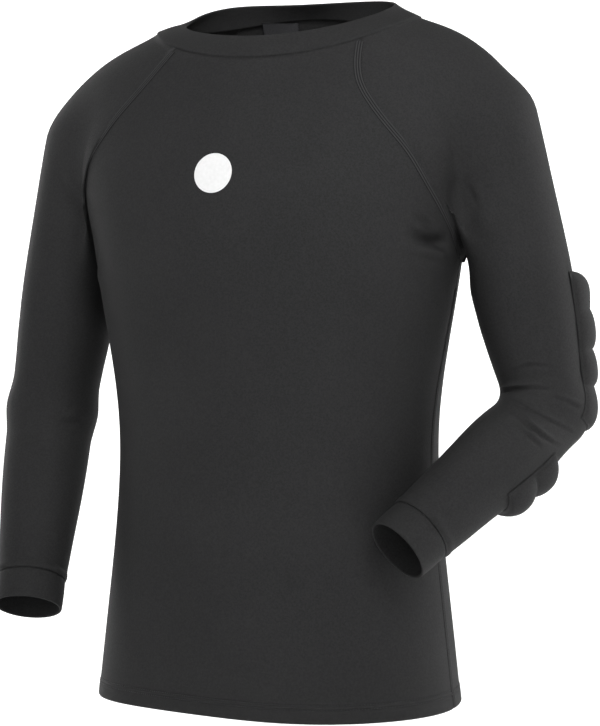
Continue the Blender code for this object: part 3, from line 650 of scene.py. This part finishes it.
# Meshes
def gridMesh(name, sheets, material, wrapRows=False, wrapColumns=False):
    # one grid is a closed ring both ways, or two grids are the outer and inner faces of a shell joined at its edges
    outer = sheets[0]
    rows, columns = outer.shape[:2]
    downTo, acrossTo = rows if wrapRows else rows - 1, columns if wrapColumns else columns - 1
    i, j = np.meshgrid(np.arange(downTo), np.arange(acrossTo), indexing="ij")
    corners = ((0, 0), (0, 1), (1, 1), (1, 0))
    faces = np.stack([((i + a) % rows) * columns + (j + b) % columns for a, b in corners], -1).reshape(-1, 4)
    full = np.concatenate([outer, outer[:1]], 0) if wrapRows else outer
    full = np.concatenate([full, full[:, :1]], 1) if wrapColumns else full
    acrossSteps = np.linalg.norm(np.diff(full, axis=1), axis=-1)
    downSteps = np.linalg.norm(np.diff(full, axis=0), axis=-1)
    across = np.concatenate([np.zeros((len(full), 1)), np.cumsum(acrossSteps, 1)], 1)
    down = np.concatenate([np.zeros((1, full.shape[1])), np.cumsum(downSteps, 0)], 0)
    across -= across[:, -1:] / 2
    uv = np.stack([across, down], -1)
    faceUv = np.stack([uv[i + a, j + b] for a, b in corners], 2).reshape(-1, 4, 2)
    points = outer.reshape(-1, 3)
    if len(sheets) == 2:
        count = rows * columns
        points = np.vstack([points, sheets[1].reshape(-1, 3)])
        borders = []
        if not wrapRows:
            top = np.stack([np.arange(acrossTo), (np.arange(acrossTo) + 1) % columns], -1)
            borders += [top[:, ::-1], top + (rows - 1) * columns]
        if not wrapColumns:
            side = np.stack([np.arange(downTo), (np.arange(downTo) + 1) % rows], -1) * columns
            borders += [side, side[:, ::-1] + columns - 1]
        border = np.vstack(borders)
        rim = np.stack([border[:, 0], border[:, 1], border[:, 1] + count, border[:, 0] + count], -1)
        rimUv = np.stack([points[rim[:, k]][:, :2] for k in range(4)], 1)
        faces = np.vstack([faces, faces[:, ::-1] + count, rim[:, ::-1]])
        faceUv = np.vstack([faceUv, faceUv[:, ::-1], rimUv[:, ::-1]])
        middle = faces[len(faces) // 4]
        facing = points[middle[0]] - points[(middle[0] + count) % len(points)]
        a, b, c, d = points[middle]
        if np.cross(c - a, d - b) @ facing < 0:
            faces, faceUv = faces[:, ::-1], faceUv[:, ::-1]
    mesh = bpy.data.meshes.new(name)
    mesh.vertices.add(len(points))
    mesh.vertices.foreach_set("co", points.astype(np.float32).ravel())
    mesh.loops.add(faces.size)
    mesh.loops.foreach_set("vertex_index", faces.astype(np.int32).ravel())
    mesh.polygons.add(len(faces))
    mesh.polygons.foreach_set("loop_start", np.arange(0, faces.size, 4, dtype=np.int32))
    mesh.uv_layers.new(name="cloth")
    mesh.update(calc_edges=True)
    mesh.uv_layers["cloth"].data.foreach_set("uv", faceUv.astype(np.float32).ravel())
    mesh.polygons.foreach_set("use_smooth", np.ones(len(faces), dtype=bool))
    mesh.validate()
    mesh.materials.append(material)
    made = bpy.data.objects.new(name, mesh)
    bpy.context.scene.collection.objects.link(made)
    if len(sheets) == 1:
        volume = np.einsum("ij,ij->i", points[faces[:, 0]], np.cross(points[faces[:, 1]], points[faces[:, 2]])).sum()
        volume += np.einsum("ij,ij->i", points[faces[:, 0]], np.cross(points[faces[:, 2]], points[faces[:, 3]])).sum()
        if volume < 0:
            mesh.flip_normals()
    return made


def placed(piece, nodes):
    # every piece rides on the one body, and stands for its solids
    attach(piece, "root")
    if nodes:
        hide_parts(*nodes)
    return piece


# Shader maths: a wire is a socket or a number, and expressions on wires add Math nodes
class Wire:
    def __init__(self, shader, socket):
        self.shader, self.socket = shader, socket

    def math(self, operation, other=0.0):
        return self.shader.node("ShaderNodeMath", {"operation": operation}, {0: self, 1: other})

    def __add__(self, other):
        return self.math("ADD", other)

    def __sub__(self, other):
        return self.math("SUBTRACT", other)

    def __mul__(self, other):
        return self.math("MULTIPLY", other)

    def between(self, low, high):
        settings = {"interpolation_type": "SMOOTHSTEP"}
        return self.shader.node("ShaderNodeMapRange", settings, {"Value": self, "From Min": low, "From Max": high})


class Shader:
    def __init__(self, name, roughness, sheen, specular=0.4):
        self.material = bpy.data.materials.new(name)
        self.material.use_nodes = True
        self.tree = self.material.node_tree
        self.principled = self.tree.nodes["Principled BSDF"]
        uniform = {"Roughness": roughness, "Sheen Weight": sheen, "Sheen Roughness": 0.4}
        uniform.update({"Specular IOR Level": specular, "IOR": 1.38})
        for socket, value in uniform.items():
            self.principled.inputs[socket].default_value = value

    def node(self, kind, settings=None, sockets=None, output=0):
        made = self.tree.nodes.new(kind)
        for key, value in (settings or {}).items():
            setattr(made, key, value)
        for key, value in (sockets or {}).items():
            self.feed(made.inputs[key], value)
        return Wire(self, made.outputs[output])

    def feed(self, socket, value):
        if isinstance(value, Wire):
            self.tree.links.new(value.socket, socket)
        else:
            socket.default_value = value

    def axes(self, vector):
        made = self.tree.nodes.new("ShaderNodeSeparateXYZ")
        self.feed(made.inputs[0], vector)
        return [Wire(self, made.outputs[k]) for k in range(3)]

    def objectPlace(self):
        return self.node("ShaderNodeTexCoord", output=3)

    def clothPlace(self):
        return self.node("ShaderNodeUVMap", {"uv_map": "cloth"})

    def noise(self, place, scale, detail=2.0, roughness=0.5):
        sockets = {"Vector": place, "Scale": scale, "Detail": detail, "Roughness": roughness}
        return self.node("ShaderNodeTexNoise", None, sockets)

    def blended(self, factor, low, high):
        settings = {"data_type": "RGBA", "clamp_factor": True}
        made = self.tree.nodes.new("ShaderNodeMix")
        for key, value in settings.items():
            setattr(made, key, value)
        self.feed(made.inputs[0], factor)
        self.feed(made.inputs[6], low)
        self.feed(made.inputs[7], high)
        return Wire(self, made.outputs[2])

    def finish(self, colour=None, roughness=None, height=None, bumpStrength=0.5, bumpDistance=0.0004):
        if colour is not None:
            self.feed(self.principled.inputs["Base Color"], colour)
        if roughness is not None:
            self.feed(self.principled.inputs["Roughness"], roughness)
        if height is not None:
            sockets = {"Strength": bumpStrength, "Distance": bumpDistance, "Height": height}
            self.feed(self.principled.inputs["Normal"], self.node("ShaderNodeBump", None, sockets))
        return self.material


knit = {
    "dark": (0.0060, 0.0060, 0.0061, 1.0),
    "pale": (0.0186, 0.0186, 0.0188, 1.0),
    "wale": 0.0007,  # width of one column of loops
    "course": 0.0005,  # height of one row of loops
    "roughness": 0.74,
    "sheen": 0.0,
    "specular": 0.15,
}


def knitMaterial(name, tone=1.0, roughness=knit["roughness"]):
    # columns of small loops, each a pair of slanted legs, with broad and fine unevenness in tone
    shader = Shader(name, roughness, knit["sheen"], specular=knit["specular"])
    across, down, _ = shader.axes(shader.clothPlace())
    place = shader.objectPlace()
    wale = across * (1 / knit["wale"])
    leg = ((wale.math("FRACT") - 0.5).math("ABSOLUTE") * 2 - 1).math("ABSOLUTE")
    course = down * (1 / knit["course"]) + leg * 0.5
    loops = (course * (2 * np.pi)).math("SINE") * 0.5 + 0.5
    grain = shader.noise(place, 1150.0, 2.0, 0.6)
    fleck = shader.noise(place, 520.0, 3.0, 0.65)
    cloud = shader.noise(place, 9.0, 3.0, 0.5)
    height = loops * 0.5 + leg * 0.5 + grain * 0.8
    shade = grain.between(0.30, 0.70) * 0.32 + fleck.between(0.34, 0.66) * 0.38
    shade = shade + cloud.between(0.3, 0.7) * 0.14 + loops * 0.16
    low = tuple(tone * c for c in knit["dark"][:3]) + (1.0,)
    high = tuple(tone * c for c in knit["pale"][:3]) + (1.0,)
    rough = grain * 0.16 + (roughness - 0.08)
    return shader.finish(shader.blended(shade, low, high), rough, height, 0.30, 0.00012)


jersey = knitMaterial("jerseyKnit")
bandKnit = knitMaterial("bandKnit", 1.02, 0.76)
padKnit = knitMaterial("padKnit", 1.06, 0.70)


def seamMaterial():
    # three pale bands of flat thread with dark grooves beside them, and slanted loops along each
    shader = Shader("flatSeamThread", 0.74, knit["sheen"], specular=knit["specular"])
    across, down, _ = shader.axes(shader.clothPlace())
    bands = (across * (6 * np.pi / sewing["stripWidth"])).math("COSINE") * 0.5 + 0.5
    loops = (down * (2 * np.pi / 0.0016) + across * 2200.0).math("SINE") * 0.5 + 0.5
    grain = shader.noise(shader.objectPlace(), 700.0, 2.0, 0.6)
    shade = bands.between(0.10, 0.75) * (loops * 0.35 + grain * 0.35 + 0.35)
    colour = shader.blended(shade, (0.0035, 0.0035, 0.0037, 1), (0.0300, 0.0300, 0.0305, 1))
    return shader.finish(colour, None, bands * 0.7 + loops * 0.3, 0.4, 0.0002)


def threadMaterial():
    # twisted thread: a fine grain in tone and bump
    shader = Shader("blackThread", 0.50, 0.03, specular=0.3)
    grain = shader.noise(shader.objectPlace(), 2600.0, 1.0, 0.5)
    colour = shader.blended(grain, (0.005, 0.005, 0.006, 1), (0.018, 0.018, 0.019, 1))
    return shader.finish(colour, None, grain, 0.5, 0.0002)


def labelMaterial():
    # a dark woven satin label: fine rows and columns
    shader = Shader("wovenLabel", 0.46, 0.03, specular=0.3)
    across, down, _ = shader.axes(shader.clothPlace())
    rows = (down * (2 * np.pi / 0.0006)).math("SINE") * 0.5 + 0.5
    columns = (across * (2 * np.pi / 0.0005)).math("SINE") * 0.5 + 0.5
    weave = rows * 0.6 + columns * 0.4
    grain = shader.noise(shader.objectPlace(), 900.0, 2.0, 0.5)
    shade = weave * 0.5 + grain.between(0.3, 0.7) * 0.5
    colour = shader.blended(shade, (0.012, 0.012, 0.013, 1), (0.030, 0.030, 0.032, 1))
    return shader.finish(colour, None, weave, 0.4, 0.0002)


sewing = {"stripWidth": 0.0074, "stripHeight": 0.00045, "pitch": 0.0026, "length": 0.0020, "thick": 0.00035}
seamKnit = seamMaterial()
thread = threadMaterial()
wovenLabel = labelMaterial()
print("materials made")


# Panels
panelSet = {
    "wall": 0.0013,
    "hemLayer": 0.0014,
    "seamInset": 0.0002,
    "hemRise": 0.0007,
    "groove": 0.0006,
    "grooveGap": 0.0042,
    "hemEdge": 0.0012,
}


def edgePulled(points, amount):
    # pulls a shell's edges in by a little, so that neighbours don't touch
    moved = points.copy()
    every = slice(None)
    for edge, beyond in (((every, 0), (every, 1)), ((every, -1), (every, -2)), (0, 1), (-1, -2)):
        moved[edge] += amount * unit(points[beyond] - points[edge])
    return moved


def hemShape(points, height):
    # the turned hem stands out under its stitch line, which is pulled in; the bottom edge is rounded
    up = np.linalg.norm(points - points[:1], axis=-1)
    raised = panelSet["hemRise"] * (1 - ramp(up, height - 0.001, height + 0.0015))
    groove = panelSet["groove"] * (bump(up, height, 0.0011) + bump(up, height - panelSet["grooveGap"], 0.0009))
    edge = panelSet["hemEdge"] * (1 - ramp(up, 0.0, 0.0022)) ** 2
    return raised - groove - edge


def makePanel(face):
    points = panelGrid(face)
    normals = gridNormals(points)
    normals[-1] = outward(body, points[-1])
    points = creased(points, normals)
    shape = hemShape(points, seams["hemDepth"])
    outer = points + shape[..., None] * normals
    up, line = np.linalg.norm(points - points[:1], axis=-1), seams["hemDepth"]
    thick = panelSet["wall"] + panelSet["hemLayer"] * (1 - ramp(up, line - 0.001, line + 0.001))
    outer = edgePulled(outer, panelSet["seamInset"])
    inner = outer - thick[..., None] * normals
    piece = gridMesh(face + "Panel", [outer, inner], jersey)
    return placed(piece, [face]), outer, normals


frontPanel, frontPoints, frontNormals = makePanel("front")
backPanel, backPoints, backNormals = makePanel("back")
print("panels made")


# Sleeves
sleeve = {
    "wall": 0.0013,
    "rings": ((0.222, 36), (0.345, 104), (0.449, 50)),  # how far down, how many rings to there
    "softRounds": 60,
    "lip": 0.0012,
    "lipWidth": 0.004,
    "lipPlace": 0.0045,
}


def makeSleeve(arm):
    points = sleeveGrid(arm)
    normals = gridNormals(points, wrap=True)
    points = creased(points, normals)
    toEnd = np.linalg.norm(points - points[-1:], axis=-1)
    lip = sleeve["lip"] * bump(toEnd, sleeve["lipPlace"], sleeve["lipWidth"])
    outer = points + lip[..., None] * normals
    outer[0] += panelSet["seamInset"] * unit(outer[1] - outer[0])
    outer[-1] += panelSet["seamInset"] * unit(outer[-2] - outer[-1])
    inner = outer - sleeve["wall"] * normals
    piece = gridMesh("sleeve" + arm.side.capitalize(), [outer, inner], jersey, wrapColumns=True)
    return placed(piece, ["sleeve_" + arm.side])


sleeves = {side: makeSleeve(arm) for side, arm in arms.items()}
print("sleeves made")


# Bands: a folded band's section runs up its outside, round its fold and down its inside
def foldedBand(seamRow, rimRow, normals, wall, bulge, count):
    # section: a flat loop of the band's width, its fold a half circle, carried round the two rows
    v = np.concatenate([np.linspace(0, 1, count), np.full(9, 1.0), np.linspace(1, 0, count)])
    side = np.concatenate([np.full(count, 0.5), 0.5 * np.cos(np.linspace(0, np.pi, 11)[1:-1]), np.full(count, -0.5)])
    past = np.concatenate([np.zeros(count), 0.5 * np.sin(np.linspace(0, np.pi, 11)[1:-1]), np.zeros(count)])
    up = unit(rimRow - seamRow)
    v, side, past = v[:, None, None], side[:, None, None], past[:, None, None]
    middle = seamRow + v * (rimRow - seamRow - wall / 2 * up) + bulge * np.sin(np.pi * v) * normals
    return middle + wall * (side * normals + past * up)


neck = {
    "wall": 0.0024,
    "bulge": 0.0009,
    "tuck": 0.0004,
    "cornerRise": 0.011,
    "sideDrop": 0.004,
    "rimRow": {"halfWidth": 0.103, "halfDepth": 0.077, "heights": (-0.022, 0.013, 0.036)},
    "count": 14,
}


def makeNeckband():
    parts = [neckAngles("front"), neckAngles("left"), neckAngles("back"), neckAngles("right")[::-1]]
    angles = np.concatenate([part[:-1] for part in parts])
    seamRow, rimRow = neckSeam(angles), neckRing(neck["rimRow"], angles)
    toRight = np.maximum(-np.sin(angles), 0)
    corner = toRight**2 * np.maximum(-np.cos(angles), 0)
    rimRow[:, 2] += neck["cornerRise"] * corner - neck["sideDrop"] * toRight**4
    along = unit(np.roll(seamRow, -1, 0) - np.roll(seamRow, 1, 0))
    normals = unit(np.cross(along, rimRow - seamRow))
    normals *= np.sign(np.sum(normals * (seamRow - seamRow.mean(0)), -1, keepdims=True).sum())
    start = seamRow - neck["tuck"] * unit(rimRow - seamRow)
    grid = foldedBand(start, rimRow, normals, neck["wall"], neck["bulge"], neck["count"])
    piece = gridMesh("neckBand", [grid], bandKnit, wrapRows=True, wrapColumns=True)
    return placed(piece, ["neckband"])


neckband = makeNeckband()

cuff = {"width": 0.0295, "flare": 0.11, "wall": 0.0024, "inset": 0.0012, "bulge": 0.0004, "count": 12, "columns": 160}


def makeCuff(arm):
    columns = cuff["columns"]
    around = np.linspace(0, 2 * np.pi, columns, endpoint=False)
    start = sleeveRings(arm, np.full(columns, seams["sleeveLength"]), around)
    end = sleeveRings(arm, np.full(columns, seams["sleeveLength"] + cuff["width"]), around)
    end += cuff["flare"] * (end - end.mean(0))
    normals = unit(start - start.mean(0))
    start, end = start + 0.0002 * arm.lower - cuff["inset"] * normals, end - cuff["inset"] * normals
    grid = foldedBand(start, end, normals, cuff["wall"], cuff["bulge"], cuff["count"])
    piece = gridMesh("cuff" + arm.side.capitalize(), [grid], bandKnit, wrapRows=True, wrapColumns=True)
    return placed(piece, ["cuff_" + arm.side])


cuffs = {side: makeCuff(arm) for side, arm in arms.items()}
print("bands made")


# Elbow pads: foam cells between two layers of cloth, sewn down round their edge and between the cells
pads = {
    "upper": {"start": -0.1415, "cell": 0.0364, "cells": 4},
    "lower": {"start": 0.054, "cell": 0.0320, "cells": 2},
    "halfTurn": 57.0,
    "rim": 0.0009,
    "crowns": {"upper": (0.0136, 0.0150, 0.0138, 0.0062), "lower": (0.0118, 0.0122)},
    "joins": {"upper": (0.0, 0.0104, 0.0090, 0.0048, 0.0), "lower": (0.0, 0.0040, 0.0)},
    "lift": 0.0004,
    "stepsPerCell": 22,
    "stepsAcross": 72,
}


def padHeight(across, cell, end, crown, join):
    # a pillow over each cell on a thin flange, pulled in at the stitches between the cells
    edge = (1 - np.abs(across) ** 30) * (1 - np.abs(2 * end - 1) ** 60)
    pillow = (1 - np.abs(2 * cell - 1) ** 2.1) ** 0.72
    ends = (1 - np.abs(across * 1.03).clip(0, 1) ** 3.0) ** 0.72
    return pads["rim"] * edge + 0.0002 + (join + (crown - pads["rim"] - join) * pillow) * ends


def makePad(arm, name):
    pad = pads[name]
    count = pad["cells"] * pads["stepsPerCell"]
    share = np.linspace(0, 1, count + 1)
    w = pad["start"] + pad["cell"] * pad["cells"] * share
    across = np.linspace(-1, 1, pads["stepsAcross"] + 1)
    turns = arm.elbowInside + np.pi + np.radians(pads["halfTurn"]) * across
    s, turned = np.meshgrid(arm.alongOutside(w), turns, indexing="ij")
    base = sleeveRings(arm, s, turned)
    normals = outward(arm.distance, base)
    base = creased(base, normals)
    cell = (share * pad["cells"]) % 1.0
    cell[-1] = 1.0
    crowns = np.array(pads["crowns"][name])[np.minimum((share * pad["cells"]).astype(int), pad["cells"] - 1)]
    joins = np.interp(share * pad["cells"], np.arange(pad["cells"] + 1), pads["joins"][name])
    height = padHeight(across[None], cell[:, None], share[:, None], crowns[:, None], joins[:, None])[..., None]
    inner = base + pads["lift"] * normals
    title = "elbowPad" + arm.side.capitalize() + name.capitalize()
    piece = gridMesh(title, [inner + height * normals, inner], padKnit)
    placed(piece, [f"elbow_pad_{arm.side}_{name}"])
    return piece


for arm in arms.values():
    for name in ("upper", "lower"):
        makePad(arm, name)
print("elbow pads made")


# Neck label: a small blank woven label inside the back
label = {"middleX": -0.029, "width": 0.034, "drop": 0.0025, "height": 0.020, "wall": 0.0008, "clear": 0.0027}


def makeLabel():
    top = neckSeam(np.array([np.pi]))[0][2] - label["drop"]
    x = label["middleX"] + label["width"] * np.linspace(-0.5, 0.5, 35)
    x, height = np.meshgrid(x, top - label["height"] * np.linspace(0, 1, 21))
    points = cast(body, np.stack([x, np.zeros_like(x), height], -1), np.array([0.0, 1.0, 0.0]))
    normals = outward(body, points)
    inside = points - label["clear"] * normals
    piece = gridMesh("neckLabel", [inside, inside - label["wall"] * normals], wovenLabel)
    return placed(piece, ["neck_label"])


neckLabel = makeLabel()
print("label made")


# Sewing. A flat seam is a strip with three raised bands; stitches are small rounded bars laid along a line
def curveFrame(curve, normals):
    along = unit(np.gradient(curve, axis=0))
    return along, unit(np.cross(normals, along))


def smoothCurve(curve, rounds=4):
    for _ in range(rounds):
        curve = np.concatenate([curve[:1], (curve[:-2] + 2 * curve[1:-1] + curve[2:]) / 4, curve[-1:]])
    return curve


def flatSeam(name, curve, normals):
    # cross section: three low rounded bands with a groove on each side and between; it ends before the underarm
    length = np.linalg.norm(np.diff(curve, axis=0), axis=1).sum()
    count = int(length / 0.001)
    curve = smoothCurve(evenly(curve, count))
    if len(normals) == count + 1:
        normals = evenly(normals, count)
    else:
        wanted, given = np.linspace(0, 1, count + 1), np.linspace(0, 1, len(normals))
        normals = np.stack([np.interp(wanted, given, normals[:, k]) for k in range(3)], -1)
    normals = unit(smoothCurve(normals))
    _, side = curveFrame(curve, normals)
    across = np.linspace(-1, 1, 25)
    profile = sewing["stripHeight"] * (0.2 + 0.8 * np.abs(np.cos(1.5 * np.pi * across)) ** 0.7) * (1 - across**14)
    base = curve[:, None] + across[None, :, None] * (sewing["stripWidth"] / 2) * side[:, None]
    base = settle(body, base, 6)
    drift = curve - settle(body, curve, 6)
    base = base + drift[:, None]
    outer = base + (profile[None, :, None] + 0.0001) * normals[:, None]
    piece = gridMesh(name, [outer, base - 0.0003 * normals[:, None]], seamKnit)
    return placed(piece, [])


def stitches(name, curves):
    # each stitch is a bar with pointed ends: two square sections along its line
    corners = [(x, y, z) for x in (-0.6, 0.6) for y, z in ((1, 0), (0, 1), (-1, 0), (0, -1))]
    template = np.array([(-1, 0, 0)] + corners + [(1, 0, 0)], float)
    caps = [(0, 1 + k, 1 + (k + 1) % 4) for k in range(4)] + [(9, 5 + (k + 1) % 4, 5 + k) for k in range(4)]
    sides = [(1 + k, 5 + k, 5 + (k + 1) % 4, 1 + (k + 1) % 4) for k in range(4)]
    points, faces, total = [], [], 0
    for curve, normals in curves:
        length = np.linalg.norm(np.diff(curve, axis=0), axis=1).sum()
        count = int(length / sewing["pitch"])
        at = np.linspace(0, 1, len(curve))
        wanted = (np.arange(count) + 0.5) / count
        centre = np.stack([np.interp(wanted, at, curve[:, k]) for k in range(3)], -1)
        out = unit(np.stack([np.interp(wanted, at, normals[:, k]) for k in range(3)], -1))
        along, side = curveFrame(centre, out)
        x, y, z = (template[:, k][None, :, None] for k in range(3))
        made = centre[:, None] + sewing["length"] / 2 * x * along[:, None]
        made = made + sewing["thick"] * (y * side[:, None] + z * out[:, None])
        points.append(made.reshape(-1, 3))
        for face in caps + sides:
            faces.append((np.arange(count) * 10 + total)[:, None] + np.array(face)[None])
        total += count * 10
    mesh = bpy.data.meshes.new(name)
    mesh.from_pydata(np.vstack(points).tolist(), [], [face for group in faces for face in group.tolist()])
    mesh.polygons.foreach_set("use_smooth", np.ones(len(mesh.polygons), dtype=bool))
    mesh.materials.append(thread)
    made = bpy.data.objects.new(name, mesh)
    bpy.context.scene.collection.objects.link(made)
    return placed(made, [])


seamCurves = {}
top = steps["hem"] + steps["side"] - 1
for sideName, column in (("Right", 0), ("Left", -1)):
    seamCurves["raglanFront" + sideName] = (frontPoints[top:, column], frontNormals[top:, column])
    seamCurves["side" + sideName] = (frontPoints[:top + 1, column], frontNormals[:top + 1, column])
for sideName, column in (("Left", 0), ("Right", -1)):
    seamCurves["raglanBack" + sideName] = (backPoints[top:, column], backNormals[top:, column])


def shortened(curve, fromStart, fromEnd):
    # leaves out the points within a length of either end
    lengths = np.concatenate([[0], np.cumsum(np.linalg.norm(np.diff(curve, axis=0), axis=1))])
    return (lengths >= fromStart) & (lengths <= lengths[-1] - fromEnd)


seamPieces = []
for name, (curve, normals) in seamCurves.items():
    # raglan rows run from the underarm up, side rows from the hem up
    kept = shortened(curve, 0.007, 0.0030) if name.startswith("raglan") else shortened(curve, 0.0005, 0.022)
    seamPieces.append(flatSeam(name, curve[kept], normals[kept]))
print("seams made")


# Chest mark: a plain printed disc, a thin film that follows the front panel
mark = {"middle": (-0.0232, -0.1552), "radius": 0.0185, "rise": 0.0003, "film": 0.00015}


def markMaterial():
    # matt white film with a faint mottle
    shader = Shader("plainPrint", 0.55, 0.0, specular=0.25)
    mottle = shader.noise(shader.objectPlace(), 300.0, 2.0, 0.5)
    colour = shader.blended(mottle, (0.44, 0.44, 0.44, 1), (0.52, 0.52, 0.52, 1))
    return shader.finish(colour, mottle * 0.1 + 0.50, mottle, 0.15, 0.0001)


def makeMark():
    # rings of a disc in the plane of the chest, cast forward onto the body; the middle is one point
    share, angle = np.meshgrid(np.linspace(0, 1, 13), np.linspace(0, 2 * np.pi, 73)[:-1], indexing="ij")
    x = mark["middle"][0] + mark["radius"] * share * np.cos(angle)
    height = mark["middle"][1] + mark["radius"] * share * np.sin(angle)
    points = cast(body, np.stack([x, np.zeros_like(x), height], -1), np.array([0.0, -1.0, 0.0]))
    normals = outward(body, points)
    points, normals = points[1:], normals[1:]
    base = points + mark["rise"] * normals
    outer = base + mark["film"] * (1 - share[1:, :, None] ** 16) * normals
    rings, columns = base.shape[:2]
    mesh = bpy.data.meshes.new("chestMark")
    centre = outer[0].mean(0)
    k = np.arange(columns)
    i, j = np.meshgrid(np.arange(rings - 1), k, indexing="ij")
    after, nextOne = (j + 1) % columns, (k + 1) % columns
    quads = np.stack([i * columns + j, (i + 1) * columns + j, (i + 1) * columns + after, i * columns + after], -1)
    count, last = rings * columns, (rings - 1) * columns
    under = quads[..., ::-1] + count
    rim = np.stack([last + k, last + k + count, last + nextOne + count, last + nextOne], -1)
    caps = np.stack([np.full(columns, 2 * count), k, nextOne], -1)
    capsUnder = np.stack([np.full(columns, 2 * count + 1), nextOne + count, k + count], -1)
    faces = [face for part in (quads, under, rim) for face in part.reshape(-1, 4).tolist()]
    faces += caps.tolist() + capsUnder.tolist()
    points = np.vstack([outer.reshape(-1, 3), base.reshape(-1, 3), centre[None], base[0].mean(0)[None]])
    mesh.from_pydata(points.tolist(), [], faces)
    mesh.update()
    mesh.polygons.foreach_set("use_smooth", np.ones(len(faces), dtype=bool))
    mesh.materials.append(markMaterial())
    made = bpy.data.objects.new("chestMark", mesh)
    bpy.context.scene.collection.objects.link(made)
    if mesh.polygons[0].normal.y > 0:
        mesh.flip_normals()
    return placed(made, [])


chestMark = makeMark()


def hemLine(points, normals, rise):
    # the row of a panel nearest a height above its bottom edge
    up = np.linalg.norm(points - points[:1], axis=-1)
    row = np.argmin(np.abs(up.mean(1) - rise))
    return points[row] + 0.0002 * normals[row], normals[row]


hemRises = (seams["hemDepth"], seams["hemDepth"] - panelSet["grooveGap"])
panels = ((frontPoints, frontNormals), (backPoints, backNormals))
hemCurves = [hemLine(points, normals, rise) for points, normals in panels for rise in hemRises]
hemStitches = stitches("hemStitches", hemCurves)
print("stitches made")


# Lists of the pieces on the front (front and side seams, hem stitches, chest mark) and on the back (back raglan
# seams)
onFront = [piece for name, piece in zip(seamCurves, seamPieces) if "Back" not in name] + [hemStitches, chestMark]
onBack = [piece for name, piece in zip(seamCurves, seamPieces) if "Back" in name]


# Stage: a round pale floor that curves up into a wall all round it, and soft studio lights
stageSet = {"floor": -1.30, "paper": (0.93, 0.93, 0.93, 1.0), "radius": 8.0, "bend": 1.5, "top": 6.5, "glow": 0.55}


def makeStage():
    # the floor's profile turned about the middle, which is one point
    angle = np.linspace(0, np.pi / 2, 17)
    flat = stageSet["radius"] - stageSet["bend"]
    radius = np.concatenate([[0.5, 2.0, 4.0], flat + stageSet["bend"] * np.sin(angle), [stageSet["radius"]]])
    z = np.concatenate([np.zeros(3), stageSet["bend"] * (1 - np.cos(angle)), [stageSet["top"]]]) + stageSet["floor"]
    columns = 96
    turn = np.linspace(0, 2 * np.pi, columns, endpoint=False)
    x, y = radius[:, None] * np.cos(turn), radius[:, None] * np.sin(turn)
    grid = np.stack(np.broadcast_arrays(x, y, z[:, None]), -1)
    points = np.vstack([grid.reshape(-1, 3), [[0.0, 0.0, stageSet["floor"]]]])
    i, j = np.meshgrid(np.arange(len(z) - 1), np.arange(columns), indexing="ij")
    after = (j + 1) % columns
    quads = np.stack([i * columns + j, (i + 1) * columns + j, (i + 1) * columns + after, i * columns + after], -1)
    k = np.arange(columns)
    fan = np.stack([np.full(columns, len(points) - 1), k, (k + 1) % columns], -1)
    mesh = bpy.data.meshes.new("backdrop")
    mesh.from_pydata(points.tolist(), [], quads.reshape(-1, 4).tolist() + fan.tolist())
    mesh.polygons.foreach_set("use_smooth", np.ones(len(mesh.polygons), dtype=bool))
    paper = Shader("palePaper", 0.9, 0.0)
    paper.principled.inputs["Emission Color"].default_value = (1.0, 1.0, 1.0, 1.0)
    paper.principled.inputs["Emission Strength"].default_value = stageSet["glow"]
    speckle = paper.noise(paper.objectPlace(), 40.0, 2.0, 0.5)
    tone = stageSet["paper"]
    paper.finish(paper.blended(speckle, tone, tuple(min(1, c * 1.01) for c in tone)))
    mesh.materials.append(paper.material)
    made = bpy.data.objects.new("backdrop", mesh)
    bpy.context.scene.collection.objects.link(made)


makeStage()

lights = {
    # place, what it points at, width, height, power
    "keyFront": ((0.75, -1.10, 0.70), (0.0, 0.0, -0.10), 0.6, 0.6, 20.0),
    "topSoft": ((0.10, -0.75, 1.45), (0.0, 0.0, -0.15), 1.0, 0.8, 15.0),
    "fillFront": ((-1.5, -2.0, 0.10), (0.0, 0.0, -0.20), 1.2, 1.2, 3.0),
    "rimRight": ((2.2, 1.2, 0.3), (0.15, 0.0, -0.35), 0.7, 2.4, 50.0),
    "rimLeft": ((-2.2, 1.2, 0.3), (-0.2, 0.0, -0.35), 0.7, 2.4, 25.0),
}


def aimed(place, target):
    # the turn that points a light's -Z at a target
    back = unit(np.array(place) - np.array(target))
    right = unit(np.cross([0.0, 0.0, 1.0], back))
    up = np.cross(back, right)
    matrix = np.eye(4)
    matrix[:3, 0], matrix[:3, 1], matrix[:3, 2], matrix[:3, 3] = right, up, back, place
    return Matrix(matrix.tolist())


for name, (place, target, width, height, power) in lights.items():
    data = bpy.data.lights.new(name, "AREA")
    data.shape = "RECTANGLE"
    data.size, data.size_y, data.energy = width, height, power
    lamp = bpy.data.objects.new(name, data)
    bpy.context.scene.collection.objects.link(lamp)
    lamp.matrix_world = aimed(place, target)

world = bpy.data.worlds.new("studio")
bpy.context.scene.world = world
world.use_nodes = True
world.node_tree.nodes["Background"].inputs["Color"].default_value = (1.0, 1.0, 1.0, 1.0)
world.node_tree.nodes["Background"].inputs["Strength"].default_value = 0.06
print("stage and lights made")
